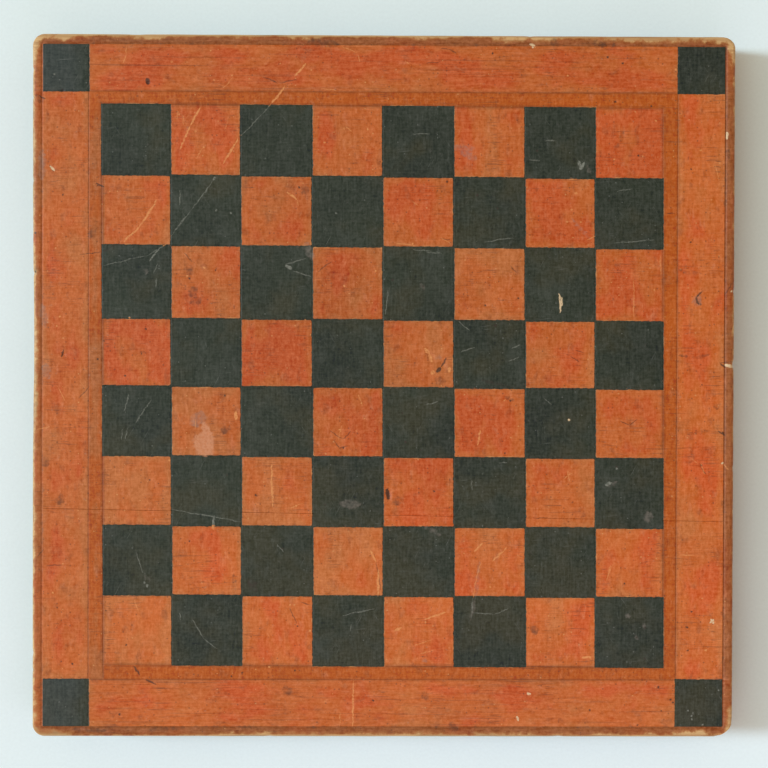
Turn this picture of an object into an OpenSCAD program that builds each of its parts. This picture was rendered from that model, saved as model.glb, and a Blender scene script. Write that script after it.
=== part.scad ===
// Wooden checkerboard of two glued boards with a worked bead edge, scribed lines and dark painted
// squares. It lies flat with the playing face up. +Z is up, +Y is the back edge, and the origin is
// on the surface that it rests on, under its centre. All lengths are in millimetres.

/* [Playing squares] */
// Side of one playing square
square = 38.1; // [30:0.1:50]
// Squares along each side
squares = 8; // [6:2:12]
// Width of a scribed line at the face
line_w = 0.8; // [0.4:0.1:1.2]
// Depth of a scribed line
line_d = 0.5; // [0.2:0.1:1]
// How far a scribed line overruns its ends
line_overrun = 1; // [0.6:0.1:2]

/* [Border] */
// Plain band between the squares and the border line
band_w = 7.5; // [4:0.1:12]
// Border between the border line and the groove of the bead
border_w = 26; // [15:0.1:40]
// Bead along the edge, from its groove to the outline
bead_w = 5.4; // [4:0.1:8]
// Width of the groove beside the bead
quirk_w = 1; // [0.6:0.1:1.6]
// Depth of the groove beside the bead
quirk_d = 2; // [1:0.1:3]
// Radius of that groove's inner side at the corners
quirk_corner_r = 0.6; // [0.6:0.1:3]

/* [Boards] */
// Thickness of the boards
board_t = 19; // [14:0.5:25]
// Width of the front board half way along its glued joint
front_board_w = 121.3; // [80:0.1:160]
// How far the glued joint falls from the left end to the right end
joint_fall = 6.8; // [0:0.1:12]
// Rounding of the back arris all round
back_round = 1.5; // [0.5:0.1:3]

/* [Dark paint] */
// Thickness of the dark paint
paint_t = 0.2; // [0.1:0.05:0.5]
// Bare edge that the dark paint leaves beside a line
paint_gap = 0.1; // [0.05:0.05:0.4]

/* [Battens] */
// Width of a batten
batten_w = 38; // [25:1:60]
// Thickness of a batten
batten_t = 12; // [9:0.5:20]
// How far a batten stops short of each edge of the panel
batten_inset = 25; // [10:1:60]
// How far the middle of a batten stands in from the side edge of the panel
batten_setback = 51.5; // [35:0.5:70]
// Chamfer round the outer face of a batten
batten_chamfer = 2.5; // [1:0.5:4]

/* [Screws] */
// Diameter of a screw's shank
screw_d = 4.2; // [3:0.1:5]
// Diameter of a screw's countersunk head
head_d = 8.3; // [7:0.1:11]
// Length of a screw over its head
screw_l = 25.4; // [20:0.2:28]
// Length of a screw's point
point_l = 5; // [3:0.5:7]
// Straight rim of a screw's head
head_rim = 0.4; // [0.2:0.1:0.8]
// Width of the slot in a screw's head
slot_w = 1.1; // [0.8:0.1:1.6]
// Depth of the slot in a screw's head
slot_d = 1.2; // [0.8:0.1:1.8]
// How far a screw's head is sunk below the batten's face
head_sunk = 0.4; // [0.2:0.1:1]
// Distance from a batten's end to its first screw
end_margin = 13; // [8:1:30]
// Distance from the glued joint to the screws on each side of it
joint_margin = 26; // [15:1:34]
// Screws from each batten into the back board
back_board_screws = 3; // [2:1:5]
// Screws from each batten into the front board
front_board_screws = 2; // [2:1:3]
// Play round a screw in its holes
screw_play = 0.1; // [0.05:0.05:0.3]

/* [Hidden] */
$fn = 96;

// The lines were laid out by hand, so each stands a little off its even place.
// Columns run from the left, rows from the back.
column_slips = [-0.7, -1.4, -1.5, -0.8, -0.5, 0, 0.8, 0.9, -0.1];
row_slips = [0.1, -0.2, -0.2, -1.8, -0.5, -0.3, -0.2, 0, -0.1];
// Border lines: left, right, back, front
border_slips = [-0.7, -0.1, 0.2, 0];
// Degrees that the columns lean to the left and the rows fall to the right
column_lean = 0.25;
row_fall = 0.22;

field = squares * square;
border_line = field / 2 + band_w;
half = border_line + border_w + bead_w;
bead_r = (bead_w - quirk_w / 2) / 2;
quirk_lip = bead_w + quirk_w / 2;
outline_r = quirk_lip + quirk_corner_r;
batten_l = 2 * (half - batten_inset);
back_z = batten_t;
face_z = batten_t + board_t;
joint_y = front_board_w - half;
joint_angle = atan2(joint_fall, 2 * half);
head_l = head_rim + (head_d - screw_d) / 2;
point_r = screw_d / 8;
hole_end = 0.5;
over = 1;

function slip(slips, i) = i < len(slips) ? slips[i] : 0;
function column_x(i) = (i - squares / 2) * square + slip(column_slips, i);
function row_y(j) = (squares / 2 - j) * square + slip(row_slips, j);
// Where column line i crosses row line j
function crossing(i, j) = [column_x(i) - tan(column_lean) * row_y(j),
                           row_y(j) - tan(row_fall) * column_x(i)];
// Height of the glued joint on the face at x
function joint_at(x) = joint_y - tan(joint_angle) * x;

left_line = -border_line + border_slips[0];
right_line = border_line + border_slips[1];
back_line = border_line + border_slips[2];
front_line = -border_line + border_slips[3];

// Middles of the screws in one batten, from the back edge forwards
function spread(from, to, count) = [for (k = [0 : count - 1]) from + (to - from) * k / (count - 1)];
function screw_ys(x) = concat(
    spread(batten_l / 2 - end_margin, joint_at(x) + joint_margin, back_board_screws),
    spread(joint_at(x) - joint_margin, end_margin - batten_l / 2, front_board_screws));
batten_xs = [batten_setback - half, half - batten_setback];

// What the plane takes off the edge: x runs in from the outline, y is the height in the board
module edge_waste() {
    difference() {
        translate([-over, board_t - bead_r]) square([over + 2 * bead_r, bead_r + over]);
        translate([bead_r, board_t - bead_r]) circle(r = bead_r);
    }
    translate([2 * bead_r, board_t - quirk_d]) square([quirk_w, quirk_d + over]);
    difference() {
        translate([-over, -over]) square(over + back_round);
        translate([back_round, back_round]) circle(r = back_round);
    }
}

module worked_side() {
    translate([outline_r - half, -half, 0]) rotate([90, 0, 90])
        linear_extrude(2 * (half - outline_r)) edge_waste();
}

module worked_corner() {
    translate([outline_r - half, outline_r - half, 0]) rotate(180)
        rotate_extrude(angle = 90) translate([outline_r, 0]) mirror([1, 0]) edge_waste();
}

// Square centred on the origin, with its sides at reach and its corners rounded
module rounded_square(reach, r) {
    square([2 * reach, 2 * (reach - r)], center = true);
    square([2 * (reach - r), 2 * reach], center = true);
    for (x = [r - reach, reach - r], y = [r - reach, reach - r]) translate([x, y]) circle(r = r);
}

// Cutter for one line scribed with a pointed tool between two points of the face. It opens out
// above the face, and overruns both points a little as a scriber does.
module scribed_line(from, to) {
    run = to - from;
    ahead = run / norm(run) * line_overrun;
    top_w = line_w * (line_d + over) / line_d;
    translate([from[0] - ahead[0], from[1] - ahead[1], board_t])
        rotate([90, 0, atan2(run[1], run[0]) + 90])
            linear_extrude(norm(run) + 2 * line_overrun)
                polygon([[-top_w / 2, over], [0, -line_d], [top_w / 2, over]]);
}

module scribed_lines() {
    reach = half - bead_w;
    for (i = [0 : squares]) {
        // The left line runs on past the squares to the border line
        foot = i == 0 ? [crossing(0, squares)[0], front_line] : crossing(i, squares);
        scribed_line(crossing(i, 0), foot);
        scribed_line(crossing(0, i), crossing(squares, i));
    }
    for (x = [left_line, right_line]) scribed_line([x, -reach], [x, reach]);
    for (y = [back_line, front_line]) scribed_line([-reach, y], [reach, y]);
}

module screw_places() {
    for (x = batten_xs, y = screw_ys(x)) translate([x, y, 0]) children();
}

module pilot_hole() {
    translate([0, 0, -over]) cylinder(d = screw_d + 2 * screw_play,
        h = over + head_sunk + screw_l - batten_t + hole_end);
}

module panel() {
    difference() {
        linear_extrude(board_t) rounded_square(half, outline_r);
        for (a = [0 : 90 : 270]) rotate(a) {
            worked_side();
            worked_corner();
        }
        scribed_lines();
        screw_places() pilot_hole();
    }
}

// Everything behind the glued joint, or before it with side = -1
module beside_joint(side) {
    reach = half + over;
    translate([0, 0, -over]) linear_extrude(board_t + 2 * over)
        polygon([[-reach, joint_at(-reach)], [reach, joint_at(reach)],
                 [reach, side * (reach + half)], [-reach, side * (reach + half)]]);
}

module back_board() {
    color([0.74, 0.39, 0.21]) translate([0, 0, back_z]) intersection() {
        panel();
        beside_joint(1);
    }
}

module front_board() {
    color([0.72, 0.37, 0.2]) translate([0, 0, back_z]) intersection() {
        panel();
        beside_joint(-1);
    }
}

module chamfered_section(width) {
    polygon([[-width / 2, batten_t], [-width / 2, batten_chamfer],
             [batten_chamfer - width / 2, 0], [width / 2 - batten_chamfer, 0],
             [width / 2, batten_chamfer], [width / 2, batten_t]]);
}

// Clearance for a screw right through a batten, with its countersink
module screw_hole() {
    hole_r = screw_d / 2 + screw_play;
    sink_r = head_d / 2 + screw_play;
    translate([0, 0, -over]) cylinder(r = hole_r, h = batten_t + 2 * over);
    translate([0, 0, -over]) cylinder(r = sink_r, h = over + head_sunk + head_rim);
    translate([0, 0, head_sunk + head_rim]) cylinder(r1 = sink_r, r2 = hole_r, h = sink_r - hole_r);
}

module batten(x) {
    difference() {
        intersection() {
            translate([x, half - batten_inset, 0]) rotate([90, 0, 0])
                linear_extrude(batten_l) chamfered_section(batten_w);
            translate([x - batten_w / 2, 0, 0]) rotate([90, 0, 90])
                linear_extrude(batten_w) chamfered_section(batten_l);
        }
        for (y = screw_ys(x)) translate([x, y, 0]) screw_hole();
    }
}

module left_batten() {
    color([0.62, 0.47, 0.3]) batten(batten_xs[0]);
}

module right_batten() {
    color([0.6, 0.45, 0.29]) batten(batten_xs[1]);
}

module screw() {
    difference() {
        rotate_extrude() polygon([[0, head_sunk], [head_d / 2, head_sunk],
            [head_d / 2, head_sunk + head_rim], [screw_d / 2, head_sunk + head_l],
            [screw_d / 2, head_sunk + screw_l - point_l], [point_r, head_sunk + screw_l],
            [0, head_sunk + screw_l]]);
        translate([-head_d / 2 - over, -slot_w / 2, head_sunk - over])
            cube([head_d + 2 * over, slot_w, over + slot_d]);
    }
}

module batten_screws() {
    color([0.35, 0.33, 0.31]) screw_places() screw();
}

module dark_square(i, j) {
    lip = line_w / 2 + paint_gap;
    linear_extrude(paint_t) polygon([crossing(i, j) + [lip, -lip], crossing(i + 1, j) + [-lip, -lip],
        crossing(i + 1, j + 1) + [-lip, lip], crossing(i, j + 1) + [lip, lip]]);
}

module dark_squares() {
    color([0.24, 0.25, 0.22]) translate([0, 0, face_z])
        for (i = [0 : squares - 1], j = [0 : squares - 1])
            if ((i + j) % 2 == 0) dark_square(i, j);
}

// The dark corners fill the border between its lines and the groove of the bead
module corner_squares() {
    lip = line_w / 2 + paint_gap;
    reach = half - quirk_lip - paint_gap;
    xs = [-half, right_line + lip];
    ys = [-half, back_line + lip];
    sizes_x = [left_line - lip + half, border_w + bead_w];
    sizes_y = [front_line - lip + half, border_w + bead_w];
    color([0.24, 0.25, 0.22]) translate([0, 0, face_z]) linear_extrude(paint_t) intersection() {
        rounded_square(reach, quirk_corner_r - paint_gap);
        for (i = [0, 1], j = [0, 1]) translate([xs[i], ys[j]]) square([sizes_x[i], sizes_y[j]]);
    }
}

back_board();
front_board();
left_batten();
right_batten();
batten_screws();
dark_squares();
corner_squares();
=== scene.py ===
"""Looks of an old painted checkerboard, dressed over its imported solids.

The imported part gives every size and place. Lengths are in metres, +Z is up and +Y is the back
edge, as in the part. Columns of squares are counted from the left, rows from the back. Patterns
and marks of the paint are in millimetres from the centre of the face.
"""
import logging
import math
from dataclasses import dataclass
from enum import Enum
from typing import Iterable, Sequence

import bmesh
import bpy
import numpy as np
from mathutils import Matrix, Vector


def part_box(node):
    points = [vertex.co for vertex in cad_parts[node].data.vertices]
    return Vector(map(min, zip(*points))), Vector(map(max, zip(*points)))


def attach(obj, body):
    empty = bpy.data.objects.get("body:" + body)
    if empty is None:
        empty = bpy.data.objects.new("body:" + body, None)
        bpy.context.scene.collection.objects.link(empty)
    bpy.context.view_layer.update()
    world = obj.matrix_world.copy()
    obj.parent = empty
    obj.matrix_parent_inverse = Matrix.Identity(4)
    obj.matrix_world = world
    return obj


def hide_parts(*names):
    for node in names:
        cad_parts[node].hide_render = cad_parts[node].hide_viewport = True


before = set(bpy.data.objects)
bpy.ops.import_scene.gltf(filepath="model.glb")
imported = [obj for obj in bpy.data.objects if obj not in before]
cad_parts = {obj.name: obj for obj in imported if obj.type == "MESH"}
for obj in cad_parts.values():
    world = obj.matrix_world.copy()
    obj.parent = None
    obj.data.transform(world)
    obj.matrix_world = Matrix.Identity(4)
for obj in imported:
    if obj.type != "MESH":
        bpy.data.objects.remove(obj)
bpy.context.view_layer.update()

MM = 0.001
ROOT = "root"
logger = logging.getLogger("checkerboard")

Socket = bpy.types.NodeSocket
Signal = float | Socket
Colour = tuple[float, float, float]
Spot = tuple[float, float]
DARKEST: Colour = (0.003, 0.003, 0.003)
NOISE_LOW, NOISE_MIDDLE, NOISE_HIGH = 0.25, 0.5, 0.75


class Side(Enum):
    """The board's four sides, each with its outward direction."""

    LEFT = (-1, 0)
    RIGHT = (1, 0)
    BACK = (0, 1)
    FRONT = (0, -1)

    @property
    def axis(self) -> int:
        """The axis that this side faces along: 0 for x and 1 for y."""
        return 0 if self.value[0] else 1

    def outward(self, x: np.ndarray, y: np.ndarray) -> np.ndarray:
        """How far places lie from the centre towards this side."""
        return x * self.value[0] + y * self.value[1]


class Cut(Enum):
    """The two boards of the panel, each with its side of the glued joint."""

    BACK_BOARD = 1
    FRONT_BOARD = -1

    @property
    def node(self) -> str:
        """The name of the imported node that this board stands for."""
        return self.name.lower()


class Harm(Enum):
    """What a mark of use does to the paint."""

    PALE = "Pale"
    DARK = "Dark"
    BARE = "Bare"
    SCUFF = "Scuff"
    STAIN = "Stain"
    RUB = "Rub"

    @property
    def soft(self) -> bool:
        """Whether such a mark fades at its edge."""
        return self in (Harm.SCUFF, Harm.STAIN, Harm.RUB)


# Helpers

def clamp(values: np.ndarray | float, low: float = 0.0, high: float = 1.0) -> np.ndarray:
    """Values kept between low and high."""
    return np.clip(values, low, high)


def swell(x: np.ndarray, y: np.ndarray, wave: float, seed: int) -> np.ndarray:
    """Smooth unevenness between about -1 and 1.

    Args:
        x: Places along x.
        y: Places along y.
        wave: Longest wavelength.
        seed: Which unevenness.

    Returns:
        One value for each place.
    """
    rng = np.random.default_rng(seed)
    total = np.zeros(np.broadcast(x, y).shape)
    waves, slowest, quickest = 6, 1, 3
    for _ in range(waves):
        angle, phase = rng.uniform(0, math.tau, 2)
        pace = math.tau / wave * rng.uniform(slowest, quickest)
        total += np.sin(pace * (x * math.cos(angle) + y * math.sin(angle)) + phase)
    return total / waves


def plain_object(name: str, mesh: bpy.types.Mesh) -> bpy.types.Object:
    """An object at the origin that shows the mesh."""
    piece = bpy.data.objects.new(name, mesh)
    bpy.context.scene.collection.objects.link(piece)
    return piece


def point_values(mesh: bpy.types.Mesh, name: str, values: np.ndarray) -> None:
    """Holds one number at each point of a mesh, for its paint to read."""
    attribute = mesh.attributes.new(name, "FLOAT", "POINT")
    attribute.data.foreach_set("value", np.asarray(values, np.float32))


def finish_piece(piece: bpy.types.Object, slot: str, *nodes: str) -> None:
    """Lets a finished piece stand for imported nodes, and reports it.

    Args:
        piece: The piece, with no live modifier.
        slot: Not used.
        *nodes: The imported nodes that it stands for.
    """
    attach(piece, ROOT)
    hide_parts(*nodes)
    logger.info("%s: %d faces, for %s", piece.name, len(piece.data.polygons), ", ".join(nodes))


# Layout

@dataclass(frozen=True)
class Rule:
    """A straight line across the board: its place at the centre and how it slopes."""

    place: float
    slope: float = 0.0

    def at(self, other: np.ndarray | float) -> np.ndarray | float:
        """Its place at another coordinate."""
        return self.place + self.slope * other


@dataclass(frozen=True)
class Layout:
    """The lines of the board as they were scribed by hand, with their small slips."""

    half: float
    face_z: float
    back_z: float
    square: float = 38.1 * MM
    squares: int = 8
    band_w: float = 7.5 * MM
    bead_w: float = 5.4 * MM
    quirk_w: float = 1.0 * MM
    quirk_d: float = 0.5 * MM
    line_w: float = 0.8 * MM
    line_d: float = 0.14 * MM
    line_overrun: float = 1.0 * MM
    paint_gap: float = 0.1 * MM
    outline_r: float = 6.5 * MM
    joint: Rule = Rule(-70.0 * MM, -6.8 / 382.6)
    column_slips: tuple[float, ...] = (-0.7, -1.4, -1.5, -0.8, -0.5, 0.0, 0.8, 0.9, -0.1)
    row_slips: tuple[float, ...] = (0.1, -0.2, -0.2, -1.8, -0.5, -0.3, -0.2, 0.0, -0.1)
    border_slips: tuple[float, ...] = (-0.7, -0.1, 0.2, 0.0)
    column_lean: float = math.radians(0.25)
    row_fall: float = math.radians(0.22)

    @property
    def half_field(self) -> float:
        """Half the even width of all the squares together."""
        return self.squares * self.square / 2

    @property
    def border_line(self) -> float:
        """Even place of a border line, from the centre."""
        return self.half_field + self.band_w

    @property
    def lip(self) -> float:
        """Where the face ends at the groove of the bead."""
        return self.half - self.bead_w - self.quirk_w / 2

    @property
    def bead_r(self) -> float:
        """Radius of the bead."""
        return (self.bead_w - self.quirk_w / 2) / 2

    @property
    def corner(self) -> float:
        """Centre of the outline's rounded corners."""
        return self.half - self.outline_r

    @property
    def paint_inset(self) -> float:
        """How far the dark paint keeps from the middle of a scribed line."""
        return self.line_w / 2 + self.paint_gap

    def column(self, i: int) -> Rule:
        """Column line i, as x over y."""
        even = (i - self.squares / 2) * self.square
        return Rule(even + self.column_slips[i] * MM, -math.tan(self.column_lean))

    def row(self, j: int) -> Rule:
        """Row line j, as y over x."""
        even = (self.squares / 2 - j) * self.square
        return Rule(even + self.row_slips[j] * MM, -math.tan(self.row_fall))

    def columns(self) -> list[Rule]:
        """All column lines from the left."""
        return [self.column(i) for i in range(self.squares + 1)]

    def rows(self) -> list[Rule]:
        """All row lines from the back."""
        return [self.row(j) for j in range(self.squares + 1)]

    def border(self, side: Side) -> Rule:
        """The border line beside one edge."""
        slip = self.border_slips[list(Side).index(side)] * MM
        return Rule(sum(side.value) * self.border_line + slip)

    def crossing(self, i: int, j: int) -> Spot:
        """Where column line i crosses row line j."""
        column, row = self.column(i), self.row(j)
        return column.at(row.place), row.at(column.place)

    def from_outline(self, x: np.ndarray, y: np.ndarray) -> np.ndarray:
        """Distance of places from the outline, rounded at the corners as it is."""
        past_x, past_y = np.abs(x) - self.corner, np.abs(y) - self.corner
        round_off = np.hypot(clamp(past_x, 0, 1), clamp(past_y, 0, 1))
        return self.outline_r - np.where(np.maximum(past_x, past_y) > 0, round_off,
                                         np.maximum(past_x, past_y))

    @classmethod
    def of_frame(cls) -> "Layout":
        """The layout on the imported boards."""
        low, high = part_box(Cut.BACK_BOARD.node)
        return cls(half=high.x, face_z=high.z, back_z=low.z)


# Patterns of the finishes, with sizes in millimetres

@dataclass(frozen=True)
class Grain:
    """A noise: the size of its blotches, how rough they are, and how far it is moved."""

    size: float | tuple[float, float, float]
    detail: float = 2
    roughness: float = 0.5
    shift: float = 0.0


@dataclass(frozen=True)
class Span:
    """A smooth change from start to end, while a value goes from low to high."""

    low: float
    high: float
    start: float = 0.0
    end: float = 1.0


@dataclass(frozen=True)
class Patches:
    """Patches where a noise lies high."""

    grain: Grain
    span: Span


@dataclass(frozen=True)
class Ripple:
    """A noise that strays to both sides of a middle value."""

    grain: Grain
    middle: float
    reach: float


@dataclass(frozen=True)
class Ridges:
    """Fine relief of a surface: a noise and its height."""

    grain: Grain
    height: float


@dataclass(frozen=True)
class Dots:
    """Scattered spots: mean distance, largest radius, share of places that hold one, strength.

    The smallest is a spot of no size, and each fades over this share of the largest radius.
    """

    pitch: float
    largest: float
    share: float
    strength: float
    shift: float = 0.0
    smallest: float = -0.01
    fade: float = 0.3


@dataclass(frozen=True)
class Threads:
    """Short fine scratches in one direction, in degrees, with how strong they show.

    They lie in places that are spread this far, drawn by a noise that is moved apart from theirs.
    """

    degrees: float
    shift: float
    strength: float = 1.0
    size: tuple[float, float, float] = (0.5, 16, 1)
    spread: float = 14.0
    apart: float = 5.0
    thin: Span = Span(0.66, 0.76)
    where: Span = Span(0.5, 0.62)


# Node trees

class Sketch:
    """Adds nodes to a tree, so that a pattern reads as a formula."""

    def __init__(self, tree: bpy.types.NodeTree) -> None:
        """Works on this tree."""
        self.tree = tree

    def node(self, kind: str, inputs: dict[int | str, object] | None = None,
             **settings: object) -> bpy.types.Node:
        """Adds one node.

        Args:
            kind: The node's type.
            inputs: A value or another node's output for some of its inputs.
            **settings: Its other properties.

        Returns:
            The node.
        """
        made = self.tree.nodes.new(kind)
        for name, value in settings.items():
            setattr(made, name, value)
        for key, value in (inputs or {}).items():
            if isinstance(value, Socket):
                self.tree.links.new(value, made.inputs[key])
            else:
                made.inputs[key].default_value = value
        return made

    def place_mm(self) -> Socket:
        """The surface's place on the object, in millimetres."""
        place = self.node("ShaderNodeTexCoord").outputs["Object"]
        return self.vector("SCALE", place, scale=1 / MM)

    def attribute(self, name: str) -> Socket:
        """A number that the mesh holds at its points."""
        return self.node("ShaderNodeAttribute", attribute_name=name).outputs["Fac"]

    def math(self, operation: str, a: Signal, b: Signal = 0.0, c: Signal = 0.0) -> Socket:
        """One sum of numbers."""
        return self.node("ShaderNodeMath", {0: a, 1: b, 2: c}, operation=operation).outputs[0]

    def add(self, *terms: Signal) -> Socket:
        """The sum of all terms."""
        total = terms[0]
        for term in terms[1:]:
            total = self.math("ADD", total, term)
        return total

    def times(self, *terms: Signal) -> Socket:
        """The product of all terms."""
        total = terms[0]
        for term in terms[1:]:
            total = self.math("MULTIPLY", total, term)
        return total

    def vector(self, operation: str, a: Colour | Socket, b: object = (0, 0, 0),
               scale: Signal = 1) -> Socket:
        """One sum of vectors."""
        made = self.node("ShaderNodeVectorMath", {0: a, 1: b, 3: scale}, operation=operation)
        measures = operation in ("DOT_PRODUCT", "LENGTH", "DISTANCE")
        return made.outputs["Value" if measures else "Vector"]

    def ramp(self, value: Socket, span: Span) -> Socket:
        """A value's smooth change over a span."""
        return self.node("ShaderNodeMapRange", {0: value, 1: span.low, 2: span.high,
                                                3: span.start, 4: span.end},
                         interpolation_type="SMOOTHSTEP").outputs[0]

    def sway(self, value: Socket, middle: float, reach: float) -> Socket:
        """A noise of 0 to 1, stretched about its mean to middle less or more than reach."""
        return self.node("ShaderNodeMapRange", {0: value, 1: NOISE_LOW, 2: NOISE_HIGH,
                                                3: middle - reach, 4: middle + reach}).outputs[0]

    def noise(self, place: Socket, grain: Grain) -> Socket:
        """Noise between 0 and 1.

        Args:
            place: Where it is looked up.
            grain: Its size, detail and roughness.

        Returns:
            Its value.
        """
        size, shift = grain.size, grain.shift
        sizes = (size,) * 3 if isinstance(size, (int, float)) else size
        shrunk = self.node("ShaderNodeVectorMath", {0: place, 1: tuple(1 / s for s in sizes),
                                                    2: (shift, shift, shift)},
                           operation="MULTIPLY_ADD").outputs[0]
        return self.node("ShaderNodeTexNoise",
                         {"Vector": shrunk, "Scale": 1.0, "Detail": grain.detail,
                          "Roughness": grain.roughness}).outputs["Fac"]

    def patches(self, place: Socket, patches: Patches) -> Socket:
        """How much of a patch lies at a place."""
        return self.ramp(self.noise(place, patches.grain), patches.span)

    def ripple(self, place: Socket, ripple: Ripple) -> Socket:
        """The value of a ripple at a place."""
        return self.sway(self.noise(place, ripple.grain), ripple.middle, ripple.reach)

    def ripples(self, place: Socket, ripples: Sequence[Ripple]) -> Socket:
        """The sum of some ripples at a place."""
        return self.add(*(self.ripple(place, ripple) for ripple in ripples))

    def mix(self, share: Signal, a: Colour | Socket, b: Colour | Socket) -> Socket:
        """Colour a with a share of colour b."""
        colours = [c if isinstance(c, Socket) else (*c, 1) for c in (a, b)]
        return self.node("ShaderNodeMix", {0: share, 6: colours[0], 7: colours[1]},
                         data_type="RGBA").outputs[2]

    def shade(self, colour: Colour | Socket, amount: Socket) -> Socket:
        """A colour made lighter or darker by a factor."""
        return self.vector("SCALE", colour, scale=amount)

    def glaze(self, colour: Socket, amount: Socket, light: Colour) -> Socket:
        """A colour with an amount of a painted glint added, or taken off where the amount is below 0.
        """
        lit = self.node("ShaderNodeVectorMath", {0: amount, 1: light, 2: colour},
                        operation="MULTIPLY_ADD").outputs[0]
        return self.vector("MAXIMUM", lit, DARKEST)

    def turned(self, place: Socket, degrees: float) -> Socket:
        """The place with its pattern turned about the board's normal."""
        return self.node("ShaderNodeVectorRotate", {"Vector": place, "Angle": math.radians(degrees)},
                         rotation_type="Z_AXIS").outputs[0]

    def ruffled(self, place: Socket, size: float, reach: float) -> Socket:
        """The place shifted up to about reach in waves of this size, for uneven edges.

        Args:
            place: Where a pattern is looked up.
            size: Length of the waves.
            reach: Largest shift.

        Returns:
            The shifted place.
        """
        shrunk = self.vector("SCALE", place, scale=1 / size)
        shift = self.node("ShaderNodeTexNoise", {"Vector": shrunk, "Scale": 1.0}).outputs["Color"]
        even = self.vector("SUBTRACT", shift, (NOISE_MIDDLE,) * 3)
        return self.node("ShaderNodeVectorMath", {0: even, 1: (reach,) * 3, 2: place},
                         operation="MULTIPLY_ADD").outputs[0]

    def dots(self, place: Socket, dots: Dots) -> Socket:
        """Scattered spots of many sizes, as strong as they show.

        Args:
            place: Where they are looked up.
            dots: How large and how many they are.

        Returns:
            Their strength.
        """
        moved = self.vector("ADD", place, (dots.shift, dots.shift, 0))
        cells = self.node("ShaderNodeTexVoronoi", {"Vector": moved, "Scale": 1 / dots.pitch},
                          voronoi_dimensions="2D")
        chance = self.node("ShaderNodeSeparateColor", {0: cells.outputs["Color"]}).outputs[0]
        widest = dots.largest / dots.pitch
        size = self.node("ShaderNodeMapRange", {0: chance, 1: 1 - dots.share, 2: 1.0,
                                                3: dots.smallest, 4: widest}).outputs[0]
        inside = self.math("SUBTRACT", size, cells.outputs["Distance"])
        return self.times(self.ramp(inside, Span(0.0, dots.fade * widest)), dots.strength)

    def hairs(self, place: Socket, grain: Grain, thin: float) -> Socket:
        """Fine lines that wander along the grain's longer size, 1 on a line."""
        level = self.math("SUBTRACT", self.noise(place, grain), NOISE_MIDDLE)
        return self.ramp(self.math("ABSOLUTE", level), Span(thin, 0.0))

    def threads(self, place: Socket, threads: Threads) -> Socket:
        """Short fine scratches, as strong as they show."""
        turned = self.turned(place, threads.degrees)
        fine = self.noise(turned, Grain(threads.size, shift=threads.shift))
        some = self.noise(place, Grain(threads.spread, shift=threads.shift + threads.apart))
        return self.times(self.ramp(fine, threads.thin), self.ramp(some, threads.where))


def new_material(name: str, colour: Colour) -> tuple[bpy.types.Material, Sketch, bpy.types.Node]:
    """A material with only its Principled shader.

    Args:
        name: The material's name.
        colour: Its colour in a plain viewport.

    Returns:
        The material, a sketch on its tree, and its shader node.
    """
    material = bpy.data.materials.new(name)
    material.diffuse_color = (*colour, 1)
    material.use_nodes = True
    sketch = Sketch(material.node_tree)
    return material, sketch, material.node_tree.nodes["Principled BSDF"]


def lay_relief(sketch: Sketch, shader: bpy.types.Node,
               *ridges: tuple[Socket, Ridges]) -> None:
    """Gives a shader fine relief.

    Args:
        sketch: Where the nodes go.
        shader: The shader of the material.
        *ridges: For each part of the relief, the place it is read at and its form.
    """
    heights = [sketch.times(sketch.noise(place, ridge.grain), ridge.height)
               for place, ridge in ridges]
    bump = sketch.node("ShaderNodeBump", {"Strength": 1.0, "Distance": MM,
                                          "Height": sketch.add(*heights)})
    sketch.tree.links.new(bump.outputs["Normal"], shader.inputs["Normal"])


# Marks of use

@dataclass(frozen=True)
class Mark:
    """One scratch, knock or stain on the face, as a path in millimetres from the centre."""

    harm: Harm
    width: float
    path: tuple[Spot, ...]

    def steps(self) -> Iterable[tuple[Spot, Spot]]:
        """The straight steps of its path; a spot has one step of no length."""
        return zip(self.path, self.path[1:] or self.path)


def strokes(harm: Harm, width: float, *paths: tuple[Spot, ...]) -> tuple[Mark, ...]:
    """Marks of one kind and width, drawn along paths."""
    return tuple(Mark(harm, width, path) for path in paths)


def spots(harm: Harm, width: float, *places: Spot) -> tuple[Mark, ...]:
    """Round marks of one kind and width."""
    return tuple(Mark(harm, width, (place,)) for place in places)


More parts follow.
